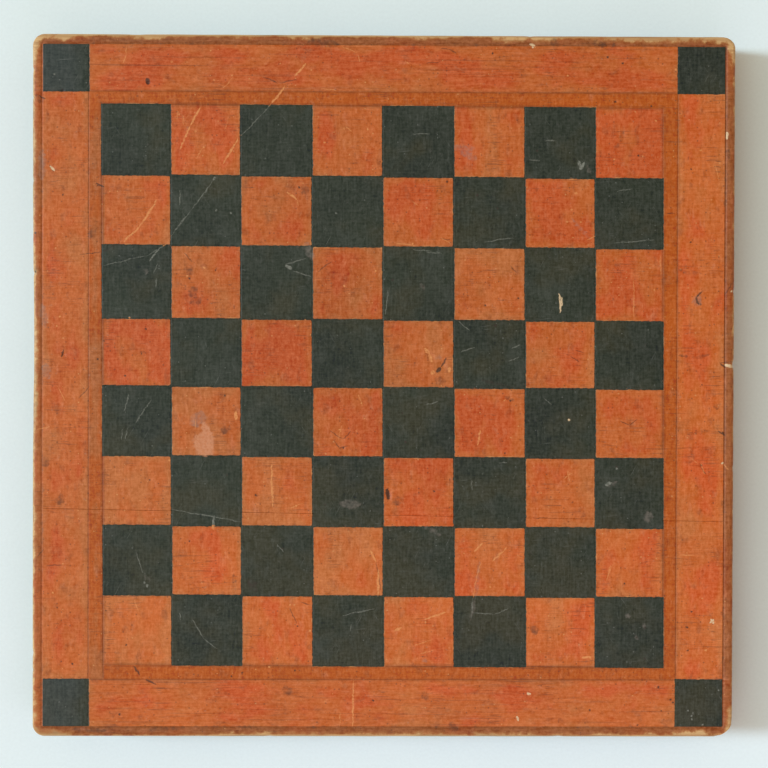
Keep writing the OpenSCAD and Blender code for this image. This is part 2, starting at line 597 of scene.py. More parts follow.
PALE_SCRATCHES = (
    *strokes(Harm.PALE, 1.2,
             ((-100, 151.5), (-105.5, 141.5), (-111.5, 128.5)),
             ((-123.5, 101.5), (-133, 86.5), (-141.5, 78)), ((-42.5, 175.5), (-49.5, 168)),
             ((-54, 163.5), (-61.5, 153.5)), ((-79.5, 134.5), (-88, 120.5)),
             ((-92, 113.5), (-93, 111.5)), ((-7, -89), (-4, -96)), ((-3, -99), (-3, -114.5)),
             ((52.5, -23.5), (51, -32)), ((49.5, -90), (54, -85)), ((67, -87.5), (59.5, -95)),
             ((22.5, -127), (35, -122.5)), ((108.5, -148), (113.5, -147)),
             ((-53, 106), (-47.5, 101.5)), ((5.5, -133.5), (10, -131.5)),
             ((-61, -42.5), (-60.5, -66)), ((-92.5, -70.5), (-93, -78.5))),
    *strokes(Harm.PALE, 1.8,
             ((-53.5, 65.5), (-50.5, 64)), ((22, 21), (24.5, 18), (26.5, 13.5)),
             ((121, -53.5), (124.5, -52))),
    *strokes(Harm.PALE, 0.5,
             ((-78.5, 136), (-66.5, 148), (-61.5, 153.5)),
             ((-93, 111.5), (-105.5, 95), (-116, 81.5)),
             ((-116.5, 78), (-129, 71), (-145, 67), (-153, 65.5)),
             ((-104, -127), (-97.5, -138), (-90.5, -143)),
             ((53.5, -95), (49.5, -109.5), (48, -127)), ((-115.5, 82), (-108.5, 92)),
             ((-111, 106.5), (-111, 98.5)), ((-54, 66), (-43, 69.5)), ((-50, 63), (-39.5, 59.5)),
             ((15, 137.5), (24.5, 137.5)), ((15, 101), (18.5, 98)), ((2, 52.5), (0.5, 39)),
             ((23, 73), (31.5, 72.5)), ((54.5, 79), (70.5, 81.5)), ((87.5, 134), (93.5, 134)),
             ((78.5, 123.5), (84.5, 123.5)), ((125.5, 78.5), (147.5, 80.5)),
             ((136, 59.5), (136, 38)), ((40.5, 35.5), (46.5, 30.5)), ((68, 14), (73.5, 16.5)),
             ((-92.5, -71.5), (-92, -78.5)), ((62.5, -41.5), (67, -41)),
             ((-135, -90.5), (-131, -102)), ((60.5, -94), (66, -88.5)),
             ((125, -96.5), (121.5, -106)), ((-177.5, 0), (-173.5, -8)),
             ((162, -91.5), (170, -91.5)), ((180, 121.5), (182, 113)),
             ((-53, 106), (-47.5, 101.5), (-47, 98)), ((-115.5, -67), (-77.5, -74)),
             ((48, -51), (48.5, -56)), ((-111, -123.5), (-110.5, -127.5)),
             ((-188.5, -24), (-181.5, -22.5)), ((185.5, -41.5), (188.5, -45)),
             ((-123, 67), (-126, 61)), ((-123.5, 59), (-124, 53.5)), ((-22.5, -125), (-4.5, -121)),
             ((-17.5, -129.5), (-18, -133.5)), ((50.5, -123.5), (60.5, -124), (68.5, -121)),
             ((-140.5, 184.5), (-140.5, 180), (-142.5, 175)), ((-23.5, 184.5), (-15, 181.5)),
             ((-14.5, 180.5), (-13.5, 176.5)), ((-82.5, 168), (-88, 161.5)),
             ((-35, 162), (-26, 161)), ((-112.5, 149.5), (-112.5, 144.5)),
             ((-109, 147), (-109.5, 142)), ((-98.5, 130.5), (-102.5, 123.5)),
             ((-85, 145), (-87, 139.5)), ((-138.5, -4.5), (-141.5, -14)),
             ((-126.5, -7.5), (-135, -20.5)), ((-142.5, -23.5), (-142.5, -29.5)),
             ((-140, -24.5), (-140.5, -29)), ((-14, -4.5), (-11.5, -10.5)),
             ((-23, -21), (-24.5, -29)), ((-51, -66.5), (-44, -63.5)),
             ((124, -97), (122.5, -103.5)), ((98.5, -50), (102.5, -47)),
             ((100, -45.5), (101.5, -52)), ((168.5, -39), (171, -41.5)),
             ((173, -41), (175.5, -47.5)), ((-23.5, -177), (-23.5, -186)),
             ((-58, -86), (-54, -90.5)), ((17, -141), (26, -138)), ((19.5, -146), (28.5, -143.5)),
             ((127, 107), (135, 108.5)), ((5.5, 78.5), (17, 76.5)), ((15.5, 74.5), (26.5, 73.5)),
             ((30.5, 81.5), (36, 78)), ((10.5, 178), (14, 174.5)), ((-21, 141), (-17.5, 138.5)),
             ((69.5, 21), (74, 23)), ((41.5, 19), (49.5, 22)), ((110, 80), (115, 82.5)),
             ((22, -10), (29.5, -8)), ((87.5, -6), (91.5, -9.5)),
             ((-135.5, -116), (-133.5, -122.5)), ((-102.5, -23.5), (-102.5, -18)),
             ((150.5, 71.5), (150.5, 61))),
    *strokes(Harm.PALE, 0.9,
             ((-16.5, -160), (-16.5, -186)), ((-122.5, 74.5), (-127.5, 68))),
)
PALE_CHIPS = (
    *spots(Harm.PALE, 1.1,
             (-111.5, 147.5), (-103, 138.5), (-98.5, 130), (-91.5, 95.5), (-83.5, 94),
             (-107, 59.5), (-22, 140), (-9.5, 140), (-21.5, 55), (15.5, 77.5), (104, 105.5),
             (99.5, 90), (147.5, 145), (147.5, 53), (-24, -23.5), (-47.5, -65), (-51, -119),
             (-128.5, -108.5), (113, -147.5), (-180, -112.5), (-83, 169), (158, 173), (181, -128),
             (183.5, -165.5), (169.5, -178), (175, -184.5), (-43, 36), (-98, 64.5), (-32.5, 132.5),
             (-26.5, 94.5), (-4.5, 63), (102, 96.5), (125, 124), (66, -7), (-12.5, -8.5),
             (-15, -24), (-40, -133), (58.5, -109), (-116, 176), (-93, 166), (99.5, 169.5),
             (-62, -153), (-157.5, -183), (169, -181), (-176.5, 37.5), (-178, 32.5), (176, -143.5),
             (166.5, -176.5), (168.5, -179.5), (-179.5, 169), (-130, -107), (-128.5, -109),
             (-116.5, -40.5), (127, -44.5), (172, 129), (-138.5, 37.5)),
    *strokes(Harm.PALE, 1.6,
             ((105.5, 123), (107, 118.5)), ((108.5, 122.5), (107, 118.5))),
    *strokes(Harm.PALE, 2.0,
             ((-80.5, -13.5), (-80.5, -18)), ((25.5, 7.5), (27.5, 8.5)), ((35.5, 10.5), (35.5, 8))),
    *strokes(Harm.BARE, 1.2,
             ((95.5, 51), (96, 40.5)), ((97, 49), (96.5, 44)), ((186.5, 139.5), (186.5, 135)),
             ((-181.5, 119), (-179, 117))),
    *strokes(Harm.BARE, 1.8, ((186, 12.4), (190.5, 11.2))),
    *strokes(Harm.BARE, 1.3,
             ((179, -126.5), (180.5, -129)), ((180.5, -126.5), (178.5, -129)),
             ((78.5, -167), (80.5, -167.5)), ((73, -180), (74, -182.5)),
             ((78.5, 187), (81.5, 185.5)), ((80, 186.5), (80.5, 184.5))),
    *spots(Harm.BARE, 1.2,
             (189.5, 52.5), (101, -18), (185, -41)),
)
CRACKS = (
    *strokes(Harm.DARK, 0.5,
             ((36, 80), (30.5, 81)), ((-166, -6.5), (-160, 0)), ((82.5, -72), (90, -71)),
             ((-183.5, -98), (-174.5, -97.5)), ((153.5, 95), (158.5, 95)),
             ((190, 57.5), (185.5, 50)), ((-165.5, 71.5), (-154.5, 72.5), (-143.5, 77.5)),
             ((-29.5, -24), (-22, -28.5), (-18, -24)), ((-27, -29), (-24.5, -33.5), (-19, -32.5)),
             ((-66.5, 168), (-57.5, 165), (-47.5, 166.5)), ((-184.5, -89), (-188.5, -93)),
             ((-4, -95.5), (-1.5, -111)), ((-51, -120.5), (-47.5, -129.5)),
             ((180, 123.5), (184, 123)), ((179.5, 120.5), (183.5, 120)),
             ((180, 118), (183.5, 117.5)), ((22.5, 176), (30.5, 176.5)),
             ((30, 183.5), (34.5, 184), (39, 181.5)), ((128.5, -18), (134, -20.5), (138.5, -17.5)),
             ((172.5, -43), (176.5, -47.5)), ((182.5, 13.3), (190.5, 14.3)),
             ((-109, 72.5), (-104.5, 68)), ((-182, 120), (-179.5, 116)),
             ((-45.5, -117.5), (-39, -119.5)), ((101.5, 17), (106.5, 13.5)),
             ((104, 20), (109, 19)), ((-36, 62.5), (-28.5, 68)), ((68.5, 66), (72, 62.5))),
    *strokes(Harm.DARK, 1.0,
             ((173, 52.5), (170, 49), (171.5, 45)), ((34, 16), (31, 10.5)),
             ((-187.5, 158), (-184, 155.5)), ((183, 12.8), (186.5, 10.8)),
             ((182.5, -23.5), (186, -26)), ((-136, -152.5), (-132.5, -157.5)),
             ((-129, -160), (-123.5, -162.5)), ((-156.5, 110), (-152.5, 108)),
             ((-174, 20), (-175.5, 15.5))),
    *strokes(Harm.DARK, 2.4,
             ((30.5, 10), (29, 8.5)), ((2, -56), (2.5, -61.5)), ((-129, 166.5), (-128.5, 164))),
)
KNOCKS = (
    *spots(Harm.DARK, 1.2,
             (-46.5, 108), (-106, 58.5), (-59.5, 37), (34, 111.5), (4.5, 58), (50.5, 104.5),
             (55, 44.5), (73, 48), (83, 128.5), (138, 126), (60.5, 33.5), (69, -7.5), (12, -30),
             (-22, -33.5), (-87, -5), (-129.5, 31), (-140.5, 5.5), (-127, -51), (-69.5, -59),
             (27.5, -57), (127, -43.5), (-105.5, -84.5), (131.5, -107), (-140, -141),
             (-175, 160.5), (-174.5, 104), (-169.5, -151.5), (121, 179.5), (58.5, 181.5),
             (125.5, 155.5), (145, 153), (-155.5, 14.5), (-82.5, -158), (-48, -155),
             (173.5, -42.5), (167, 79), (168.5, -122.5), (166, -131), (-143.5, -179),
             (150.5, -163.5), (158.5, -172), (113, -176.5), (-189.5, 62), (-5.5, -171.5),
             (185, -24.5), (157, -170.5), (-189.5, 82.5), (129.5, 176.5)),
    *spots(Harm.DARK, 0.9,
             (-92, 63), (-41.5, 40), (21, 54.5), (61.5, 97), (122.5, 127), (122.5, 102), (66, -36),
             (10, -14.5), (20, -34.5), (-132, 17.5), (-146.5, 0.5), (-54, -0.5), (-122.5, -53),
             (-85.5, -48.5), (-32, -64.5), (74.5, -51.5), (122.5, -75.5), (-55, -88.5),
             (-151, -122.5), (-47, -131), (143, -131.5), (138.5, -136.5), (143, -148),
             (-155.5, 108.5), (-177.5, -121), (-175.5, -150.5), (-152, 24.5), (-77, -156),
             (173.5, 1.5), (173.5, -128), (166.5, -143.5), (167, 119), (152, -176.5),
             (139, -184.5)),
)
SMUDGES = (
    *strokes(Harm.SCUFF, 5.0,
             ((-43, 78), (-39, 69)), ((38.5, 131.5), (49.5, 123.5)), ((171, 50), (170.5, 44.5)),
             ((-23.5, -64), (-13, -64)), ((38.5, 129), (49, 130)), ((144, -68.5), (144.5, -73))),
    *strokes(Harm.SCUFF, 2.4,
             ((110, 120), (112, 116.5)), ((102, 92), (112, 81)), ((22.5, -76.5), (31, -81)),
             ((52.5, -95.5), (50, -116), (47.5, -127.5)), ((-130, 63.5), (-129.5, 61)),
             ((122, -54), (127.5, -51.5)), ((142, -130.5), (142.5, -131)),
             ((138, -136.5), (138.5, -137)), ((133, -124.5), (133.5, -125)),
             ((22.5, -149), (23, -149.5)), ((19.5, 55.5), (22, 53)), ((29.5, 17), (31, 15)),
             ((-127.5, -107), (-129.5, -103))),
    *strokes(Harm.STAIN, 5.0,
             ((-107, 63.5), (-105.5, 61.5)), ((-103.5, 53.5), (-104.5, 49.5)),
             ((-100, 47), (-105.5, 45.5)), ((-44, 107), (-43, 106)), ((7.5, -60.5), (6.5, -63.5)),
             ((-86.5, -23.5), (-86, -24)), ((-73, -106), (-69.5, -111)),
             ((22.5, -167.5), (23.5, -170)), ((-54, -165), (-50.5, -167.5)),
             ((-42, 187.5), (-25, 186)), ((113.5, 187), (120, 186.5)),
             ((91, 187.5), (93.5, 186.5)), ((36, -185), (40.5, -187)), ((28.5, 3.5), (32.5, 2.5)),
             ((82, -132), (83, -133.5)), ((-159, 84), (-158.5, 82)),
             ((-175, -60), (-176.5, -63.5)), ((-185, -40), (-183.5, -43))),
    *strokes(Harm.STAIN, 2.0,
             ((130, 139), (128, 133.5)), ((127, 132.5), (125.5, 129.5)), ((160.5, 64), (173, 62)),
             ((161, 17.8), (169.5, 16.5), (177.5, 17.8)), ((165.5, -25.5), (178.5, -23.5)),
             ((173.5, -33.5), (181, -33)), ((173.5, 53), (170, 49), (172.5, 44.5)),
             ((-81.5, -102.5), (-80.5, -112)), ((131, -107), (132.5, -108)),
             ((-69.5, -58.5), (-69, -60)), ((-80, -185.5), (-66.5, -186.5)),
             ((52.5, 3.5), (68.5, 0.5)), ((66, -5), (71, -7.5))),
    *strokes(Harm.STAIN, 3.0,
             ((-170, -187), (-150, -188)), ((-128, -187.5), (-108, -186)),
             ((187, 131.5), (187.5, 123)), ((-189.5, 65), (-188, 60.5)), ((-189, 158), (-187, 154)),
             ((181, -9), (182, -12)), ((184.5, -62), (185, -66))),
    *strokes(Harm.SCUFF, 5.0,
             ((-186, 44), (-184, 32)), ((-184, 12), (-183, 4)), ((-186, 128), (-186, 112))),
    *strokes(Harm.SCUFF, 8.0, ((-104, -20), (-98, -16))),
    *strokes(Harm.RUB, 10.0, ((-100, -33.5), (-95, -33.5)), ((-97, -26), (-96, -34))),
    *strokes(Harm.RUB, 5.0, ((-98, -20.5), (-96.5, -27)), ((-101.5, -27.5), (-101.5, -34))),
)
ALL_MARKS = (*PALE_SCRATCHES, *PALE_CHIPS, *CRACKS, *KNOCKS, *SMUDGES)


@dataclass(frozen=True)
class MarksOfUse:
    """The marks of a long use, drawn over whatever paint they cross."""

    marks: tuple[Mark, ...] = ALL_MARKS
    group_name: str = "Marks of use"
    pale: Colour = (0.70, 0.29, 0.095)
    dark: Colour = (0.036, 0.020, 0.013)
    bare: Colour = (0.68, 0.50, 0.29)
    haze: Colour = (0.25, 0.21, 0.175)
    rubbed: Colour = (0.60, 0.265, 0.135)
    grit: Grain = Grain(1.3, 3, 0.65, 50)
    cloud: Patches = Patches(Grain(2.6, 3, shift=51), Span(0.3, 0.68, 0.2, 0.8))
    scuff_share: float = 0.5
    stain_share: float = 0.7
    dark_share: float = 0.85
    rub_share: Span = Span(0.3, 0.65, 0.4, 0.85)
    pale_share: Span = Span(0.36, 0.58, 0.3, 0.9)
    bare_share: Span = Span(0.3, 0.5, 0.5, 1.0)
    ruffles: tuple[tuple[float, float], ...] = ((6.0, 1.8), (1.5, 0.9))
    hard_edge: Span = Span(-0.25, 0.35)
    soft_edge: Span = Span(-0.5, 1.2)
    soft_stray: Ripple = Ripple(Grain(2.4, 4, 0.62), 0.0, 1.3)

    def over(self, sketch: Sketch, place: Socket, colour: Socket) -> Socket:
        """A paint's colour with the marks over it.

        Args:
            sketch: The tree to draw in.
            place: Where the marks are looked up.
            colour: The paint's own colour.

        Returns:
            The colour with every mark.
        """
        drawn = sketch.node("ShaderNodeGroup", {"Place": place}, node_tree=self.group()).outputs
        grit = sketch.noise(place, self.grit)
        cloudy = sketch.patches(place, self.cloud)
        for harm, shares, tint in (
                (Harm.SCUFF, (cloudy, self.scuff_share), self.haze),
                (Harm.STAIN, (cloudy, self.stain_share), self.dark),
                (Harm.RUB, (sketch.ramp(grit, self.rub_share),), self.rubbed),
                (Harm.DARK, (self.dark_share,), self.dark),
                (Harm.PALE, (sketch.ramp(grit, self.pale_share),), self.pale),
                (Harm.BARE, (sketch.ramp(grit, self.bare_share),), self.bare)):
            colour = sketch.mix(sketch.times(drawn[harm.value], *shares), colour, tint)
        return colour

    def group(self) -> bpy.types.NodeTree:
        """A node group with one output between 0 and 1 for each kind of harm.

        Returns:
            The group.
        """
        known = bpy.data.node_groups.get(self.group_name)
        if known:
            return known
        tree = bpy.data.node_groups.new(self.group_name, "ShaderNodeTree")
        tree.interface.new_socket("Place", in_out="INPUT", socket_type="NodeSocketVector")
        for harm in Harm:
            tree.interface.new_socket(harm.value, in_out="OUTPUT", socket_type="NodeSocketFloat")
        sketch = Sketch(tree)
        place = sketch.node("NodeGroupInput").outputs["Place"]
        for size, reach in self.ruffles:
            place = sketch.ruffled(place, size, reach)
        flat = sketch.vector("MULTIPLY", place, (1, 1, 0))
        end = sketch.node("NodeGroupOutput")
        for harm in Harm:
            tree.links.new(self.drawn(sketch, flat, harm), end.inputs[harm.value])
        return tree

    def drawn(self, sketch: Sketch, flat: Socket, harm: Harm) -> Socket:
        """All marks of one kind.

        Args:
            sketch: Where the nodes go.
            flat: The place on the face, in millimetres.
            harm: The kind of mark.

        Returns:
            1 inside a mark and 0 outside.
        """
        total: Signal = -1.0
        for mark in self.marks:
            if mark.harm is harm:
                for start, end in mark.steps():
                    depth = self.depth(sketch, flat, start, end, mark.width)
                    total = sketch.math("MAXIMUM", total, depth)
        if not harm.soft:
            return sketch.ramp(total, self.hard_edge)
        return sketch.ramp(sketch.add(total, sketch.ripple(flat, self.soft_stray)), self.soft_edge)

    def depth(self, sketch: Sketch, flat: Socket, start: Spot, end: Spot, width: float) -> Socket:
        """How far inside one step of a mark a place lies, about as wide as it is deep.

        Args:
            sketch: Where the nodes go.
            flat: The place on the face, in millimetres.
            start: One end of the step.
            end: Its other end; a step with a length narrows towards both.
            width: The width half way.

        Returns:
            Millimetres inside its edge, or less than 0 outside it.
        """
        from_start = sketch.vector("DISTANCE", flat, (*start, 0))
        length = math.dist(start, end)
        if not length:
            return sketch.math("SUBTRACT", width / 2, from_start)
        round_trip = sketch.add(from_start, sketch.vector("DISTANCE", flat, (*end, 0)))
        reach = math.hypot(length, width)
        steep = reach / (2 * width)
        return sketch.math("MULTIPLY_ADD", round_trip, -steep, reach * steep)


# Finishes

@dataclass(frozen=True)
class AgedPine:
    """Old bare pine with its grain along one axis."""

    name: str = "Aged pine"
    pale: Colour = (0.56, 0.37, 0.18)
    late: Colour = (0.34, 0.18, 0.07)
    dirt: Colour = (0.13, 0.08, 0.04)
    rings: Grain = Grain((110.0, 2.4, 2.4), 3, 0.6)
    fibres: Grain = Grain((18.0, 0.35, 0.35))
    late_share: Span = Span(0.42, 0.66)
    fibre_light: tuple[float, float] = (0.98, 0.14)
    blotches: Patches = Patches(Grain(35.0, 4), Span(0.48, 0.85, 0.0, 0.55))
    fibre_height: float = 0.06
    roughness: float = 0.74
    gloss: float = 0.25

    def colour(self, sketch: Sketch, place: Socket) -> Socket:
        """The wood's colour, without a shader."""
        rings = sketch.ramp(sketch.noise(place, self.rings), self.late_share)
        wood = sketch.mix(rings, self.pale, self.late)
        wood = sketch.shade(wood, sketch.ripple(place, Ripple(self.fibres, *self.fibre_light)))
        return sketch.mix(sketch.patches(place, self.blotches), wood, self.dirt)

    def material(self) -> bpy.types.Material:
        """The finished material."""
        material, sketch, shader = new_material(self.name, self.pale)
        place = sketch.place_mm()
        sketch.tree.links.new(self.colour(sketch, place), shader.inputs["Base Color"])
        shader.inputs["Roughness"].default_value = self.roughness
        shader.inputs["Specular IOR Level"].default_value = self.gloss
        lay_relief(sketch, shader, (place, Ridges(self.fibres, self.fibre_height)))
        return material


@dataclass(frozen=True)
class DarkPaint:
    """The thin dark coat of the squares."""

    name: str = "Dark paint"
    group_name: str = "Dark coat"
    colour: Colour = (0.0205, 0.0240, 0.0130)
    lighter: Colour = (0.048, 0.052, 0.038)
    browner: Colour = (0.036, 0.032, 0.014)
    painted_sheen: Colour = (0.044, 0.052, 0.048)
    wisp: Colour = (0.090, 0.096, 0.078)
    glint: Colour = (0.046, 0.048, 0.042)
    smear: Colour = (0.056, 0.064, 0.056)
    grit: Colour = (0.24, 0.25, 0.22)
    pale: Colour = (0.205, 0.21, 0.17)
    haze: Patches = Patches(Grain((16, 22, 16), 4, 0.6), Span(0.46, 0.78, 0.0, 0.7))
    slow_light: Ripple = Ripple(Grain(42.0, shift=83), 0.975, 0.26)
    brown_grain: Grain = Grain(24.0, 3, shift=31)
    browner_and_lit_forward: Span = Span(170.0, -170.0, -0.06, 0.08)
    brown_share: Span = Span(0.44, 0.7, 0.0, 0.8)
    painted_sheen_at_left: Span = Span(-160.0, -172.0, 0.0, 0.5)
    # Ripples that set how much painted glint of sheen is added into the colour.
    light: tuple[Ripple, ...] = (
        Ripple(Grain((1.1, 9, 1), 3, shift=2), 0.0, 0.26),
        Ripple(Grain((7, 1.0, 1), shift=9), 0.0, 0.16),
        Ripple(Grain(1.7, 5, 0.75, 17), 0.0, 0.45),
    )
    wisps: Patches = Patches(Grain((1.8, 5, 2), 6, 0.68, 53), Span(0.56, 0.78, 0.0, 0.55))
    scratches: tuple[Threads, ...] = (Threads(28, 3, 0.3), Threads(-35, 14, 0.25),
                                      Threads(84, 25, 0.25))
    specks: Dots = Dots(3.6, 0.45, 0.15, 0.32)
    sheen: Ripple = Ripple(Grain(9.0, 3, shift=6), 0.5, 0.1)
    gloss: float = 0.25
    brush_ridges: Ridges = Ridges(Grain((0.6, 17, 1), shift=2), 0.02)
    pits: Ridges = Ridges(Grain(0.8), 0.02)

    def group(self) -> bpy.types.NodeTree:
        """A node group that gives the coat's colour at a place.

        Returns:
            The group.
        """
        known = bpy.data.node_groups.get(self.group_name)
        if known:
            return known
        tree = bpy.data.node_groups.new(self.group_name, "ShaderNodeTree")
        tree.interface.new_socket("Place", in_out="INPUT", socket_type="NodeSocketVector")
        tree.interface.new_socket("Colour", in_out="OUTPUT", socket_type="NodeSocketColor")
        sketch = Sketch(tree)
        place = sketch.node("NodeGroupInput").outputs["Place"]
        end = sketch.node("NodeGroupOutput")
        tree.links.new(self.aged(sketch, place), end.inputs["Colour"])
        return tree

    def aged(self, sketch: Sketch, place: Socket) -> Socket:
        """The coat's colour with its brush marks, haze and grit, painted glints, a painted sheen and
        painted light.

        Args:
            sketch: The tree to draw in.
            place: Where the patterns are looked up.

        Returns:
            The colour.
        """
        colour = sketch.mix(sketch.patches(place, self.haze), self.colour, self.lighter)
        colour = sketch.shade(colour, sketch.ripple(place, self.slow_light))
        parts = sketch.node("ShaderNodeSeparateXYZ", {0: place}).outputs
        # Browner in patches and towards the front; the change towards the front is partly painted
        # light, stronger there.
        patchy = sketch.add(sketch.noise(place, self.brown_grain),
                            sketch.ramp(parts[1], self.browner_and_lit_forward))
        colour = sketch.mix(sketch.ramp(patchy, self.brown_share), colour, self.browner)
        # Painted reflection: a lighter bluish sheen of the light from the left, growing on the left
        # corner squares towards the edge.
        colour = sketch.mix(sketch.ramp(parts[0], self.painted_sheen_at_left), colour, self.painted_sheen)
        # Painted glints of sheen: light reflected by fine brush ripples is added into the colour.
        colour = sketch.glaze(colour, sketch.ripples(place, self.light), self.glint)
        colour = sketch.mix(sketch.patches(place, self.wisps), colour, self.wisp)
        fine = sketch.add(*(sketch.times(sketch.threads(place, threads), threads.strength)
                            for threads in self.scratches))
        colour = sketch.mix(fine, colour, self.grit)
        return sketch.mix(sketch.dots(place, self.specks), colour, self.grit)

    def on(self, sketch: Sketch, place: Socket) -> Socket:
        """The coat's colour at a place, through its node group."""
        return sketch.node("ShaderNodeGroup", {"Place": place}, node_tree=self.group()).outputs[0]

    def material(self) -> bpy.types.Material:
        """The finished material."""
        material, sketch, shader = new_material(self.name, self.colour)
        place = sketch.place_mm()
        marks = MarksOfUse(pale=self.pale, rubbed=self.smear)
        colour = marks.over(sketch, place, self.on(sketch, place))
        sketch.tree.links.new(colour, shader.inputs["Base Color"])
        sketch.tree.links.new(sketch.ripple(place, self.sheen), shader.inputs["Roughness"])
        shader.inputs["Specular IOR Level"].default_value = self.gloss
        lay_relief(sketch, shader, (place, self.brush_ridges), (place, self.pits))
        return material


@dataclass(frozen=True)
class OrangePaint:
    """The orange coat of the boards, with its worn rim and scribed lines."""

    name: str = "Orange paint"
    deep: Colour = (0.500, 0.103, 0.007)
    golden: Colour = (0.458, 0.136, 0.034)
    orange: Colour = (0.482, 0.114, 0.022)
    rosy: Colour = (0.490, 0.086, 0.017)
    # Painted glint: the light of a fine sheen, added into the colour or taken off by ripples.
    glint: Colour = (0.34, 0.165, 0.085)
    soil: Colour = (0.20, 0.058, 0.022)
    thin: Colour = (0.63, 0.22, 0.10)
    line: Colour = (0.070, 0.022, 0.008)
    dirt: Colour = (0.12, 0.060, 0.035)
    speck: Colour = (0.10, 0.036, 0.018)
    honey: Colour = (0.50, 0.215, 0.062)
    fleck: Colour = (0.66, 0.33, 0.12)
    wood: AgedPine = AgedPine(pale=(0.62, 0.385, 0.165), late=(0.44, 0.235, 0.095))
    dark_coat: DarkPaint = DarkPaint()
    brush_sway: tuple[float, float] = (9.0, 3.0)
    hue: Ripple = Ripple(Grain((17, 30, 17), 4, 0.5, 1), 0.0, 1.3)
    near_lines: Span = Span(1.0, 0.0, -0.45, 0.12)
    golden_share: Span = Span(-2.6, -1.6)
    orange_share: Span = Span(-1.0, 0.0)
    rosy_share: Span = Span(0.0, 1.0)
    slow_light: Ripple = Ripple(Grain(34.0, shift=71), 1.01, 0.07)
    soiling: Patches = Patches(Grain((5, 8, 5), 5, 0.6, 23), Span(0.53, 0.74, 0.0, 0.4))
    rubbing: Patches = Patches(Grain((3, 7, 3), 5, 0.6, 37), Span(0.56, 0.76, 0.0, 0.42))
    board_grain: Patches = Patches(Grain((85, 1.4, 1), 3, 0.6, 61), Span(0.54, 0.72))
    board_grain_share: float = 0.5
    brush_glints: Ripple = Ripple(Grain((1.3, 11, 1), 4, 0.62, 2), 0.0, 0.18)
    fine_glints: tuple[Ripple, ...] = (
        Ripple(Grain((11, 0.9, 1), shift=7), 0.0, 0.1),
        Ripple(Grain(1.9, 5, 0.75, 11), 0.0, 0.31),
    )
    cracked: Patches = Patches(Grain(19.0, shift=8), Span(0.46, 0.62, 0.0, 0.5))
    checks: Grain = Grain((30, 1.2, 1), 1, shift=5)
    check_width: float = 0.02
    specks: Dots = Dots(2.4, 0.55, 0.2, 0.5)
    flecks: Dots = Dots(4.2, 0.5, 0.14, 0.5, 40)
    scratches: tuple[Threads, ...] = (Threads(31, 3), Threads(-38, 14))
    scratch_share: float = 0.22
    line_ink: Ripple = Ripple(Grain(8.0, 3, shift=19), 0.8, 0.3)
    grime_stray: tuple[Ripple, ...] = (Ripple(Grain(11.0, 4, 0.6, 67), 0.0, 0.3),
                                       Ripple(Grain(3.0, 4, shift=13), -0.52, 0.35))
    grime_share: Span = Span(-0.15, 0.45, 0.0, 0.8)
    flaking: tuple[Ripple, ...] = (Ripple(Grain((4, 4, 4), 6, 0.66, 21), -0.5, 0.42),
                                   Ripple(Grain(14.0, 3, shift=71), 0.0, 0.28))
    honey_share: Span = Span(-0.35, 0.15, 0.0, 0.55)
    honey_reach: Span = Span(0.0, 0.3)
    wood_share: Span = Span(-0.1, 0.35)
    wood_reach: Span = Span(0.0, 0.2)
    chips: Patches = Patches(Grain(5.0, 4, shift=27), Span(0.48, 0.7, 0.0, 0.5))
    chips_by_ink: Span = Span(-1.0, -0.8)
    ink_stray: Ripple = Ripple(Grain(2.0, 4, shift=4), 0.0, 0.3)
    ink_edge: Span = Span(-0.6, -0.35)
    sheen: Ripple = Ripple(Grain(7.0, 3, shift=6), 0.5, 0.1)
    gloss: float = 0.25
    brush_ridges: Ridges = Ridges(Grain((0.6, 15, 1), shift=2), 0.03)
    grain_ridges: Ridges = Ridges(Grain((24, 0.5, 1), shift=7), 0.05)

    def coat(self, sketch: Sketch, place: Socket, brush: Socket) -> Socket:
        """The paint itself, with its brush marks, the grain that shows through and painted glints of
        sheen.

        Args:
            sketch: The tree to draw in.
            place: Where the patterns are looked up.
            brush: Where the brush marks are looked up.

        Returns:
            The colour before wear.
        """
        tone = sketch.add(sketch.attribute("tone"), sketch.ripple(brush, self.hue),
                          sketch.ramp(sketch.attribute("edge"), self.near_lines))
        colour = sketch.mix(sketch.ramp(tone, self.golden_share), self.deep, self.golden)
        colour = sketch.mix(sketch.ramp(tone, self.orange_share), colour, self.orange)
        colour = sketch.mix(sketch.ramp(tone, self.rosy_share), colour, self.rosy)
        slow = sketch.ripple(place, self.slow_light)
        colour = sketch.shade(colour, sketch.times(sketch.attribute("shade"), slow))
        colour = sketch.mix(sketch.patches(brush, self.soiling), colour, self.soil)
        colour = sketch.mix(sketch.patches(brush, self.rubbing), colour, self.thin)
        streaks = sketch.times(sketch.patches(place, self.board_grain),
                               sketch.attribute("brushed"), self.board_grain_share)
        colour = sketch.mix(streaks, colour, self.soil)
        # Painted glints of sheen: brush and paint ripples add reflected light into the colour, or take
        # it off.
        light = sketch.add(sketch.ripple(brush, self.brush_glints),
                           *(sketch.ripple(place, ripple) for ripple in self.fine_glints))
        return sketch.glaze(colour, light, self.glint)

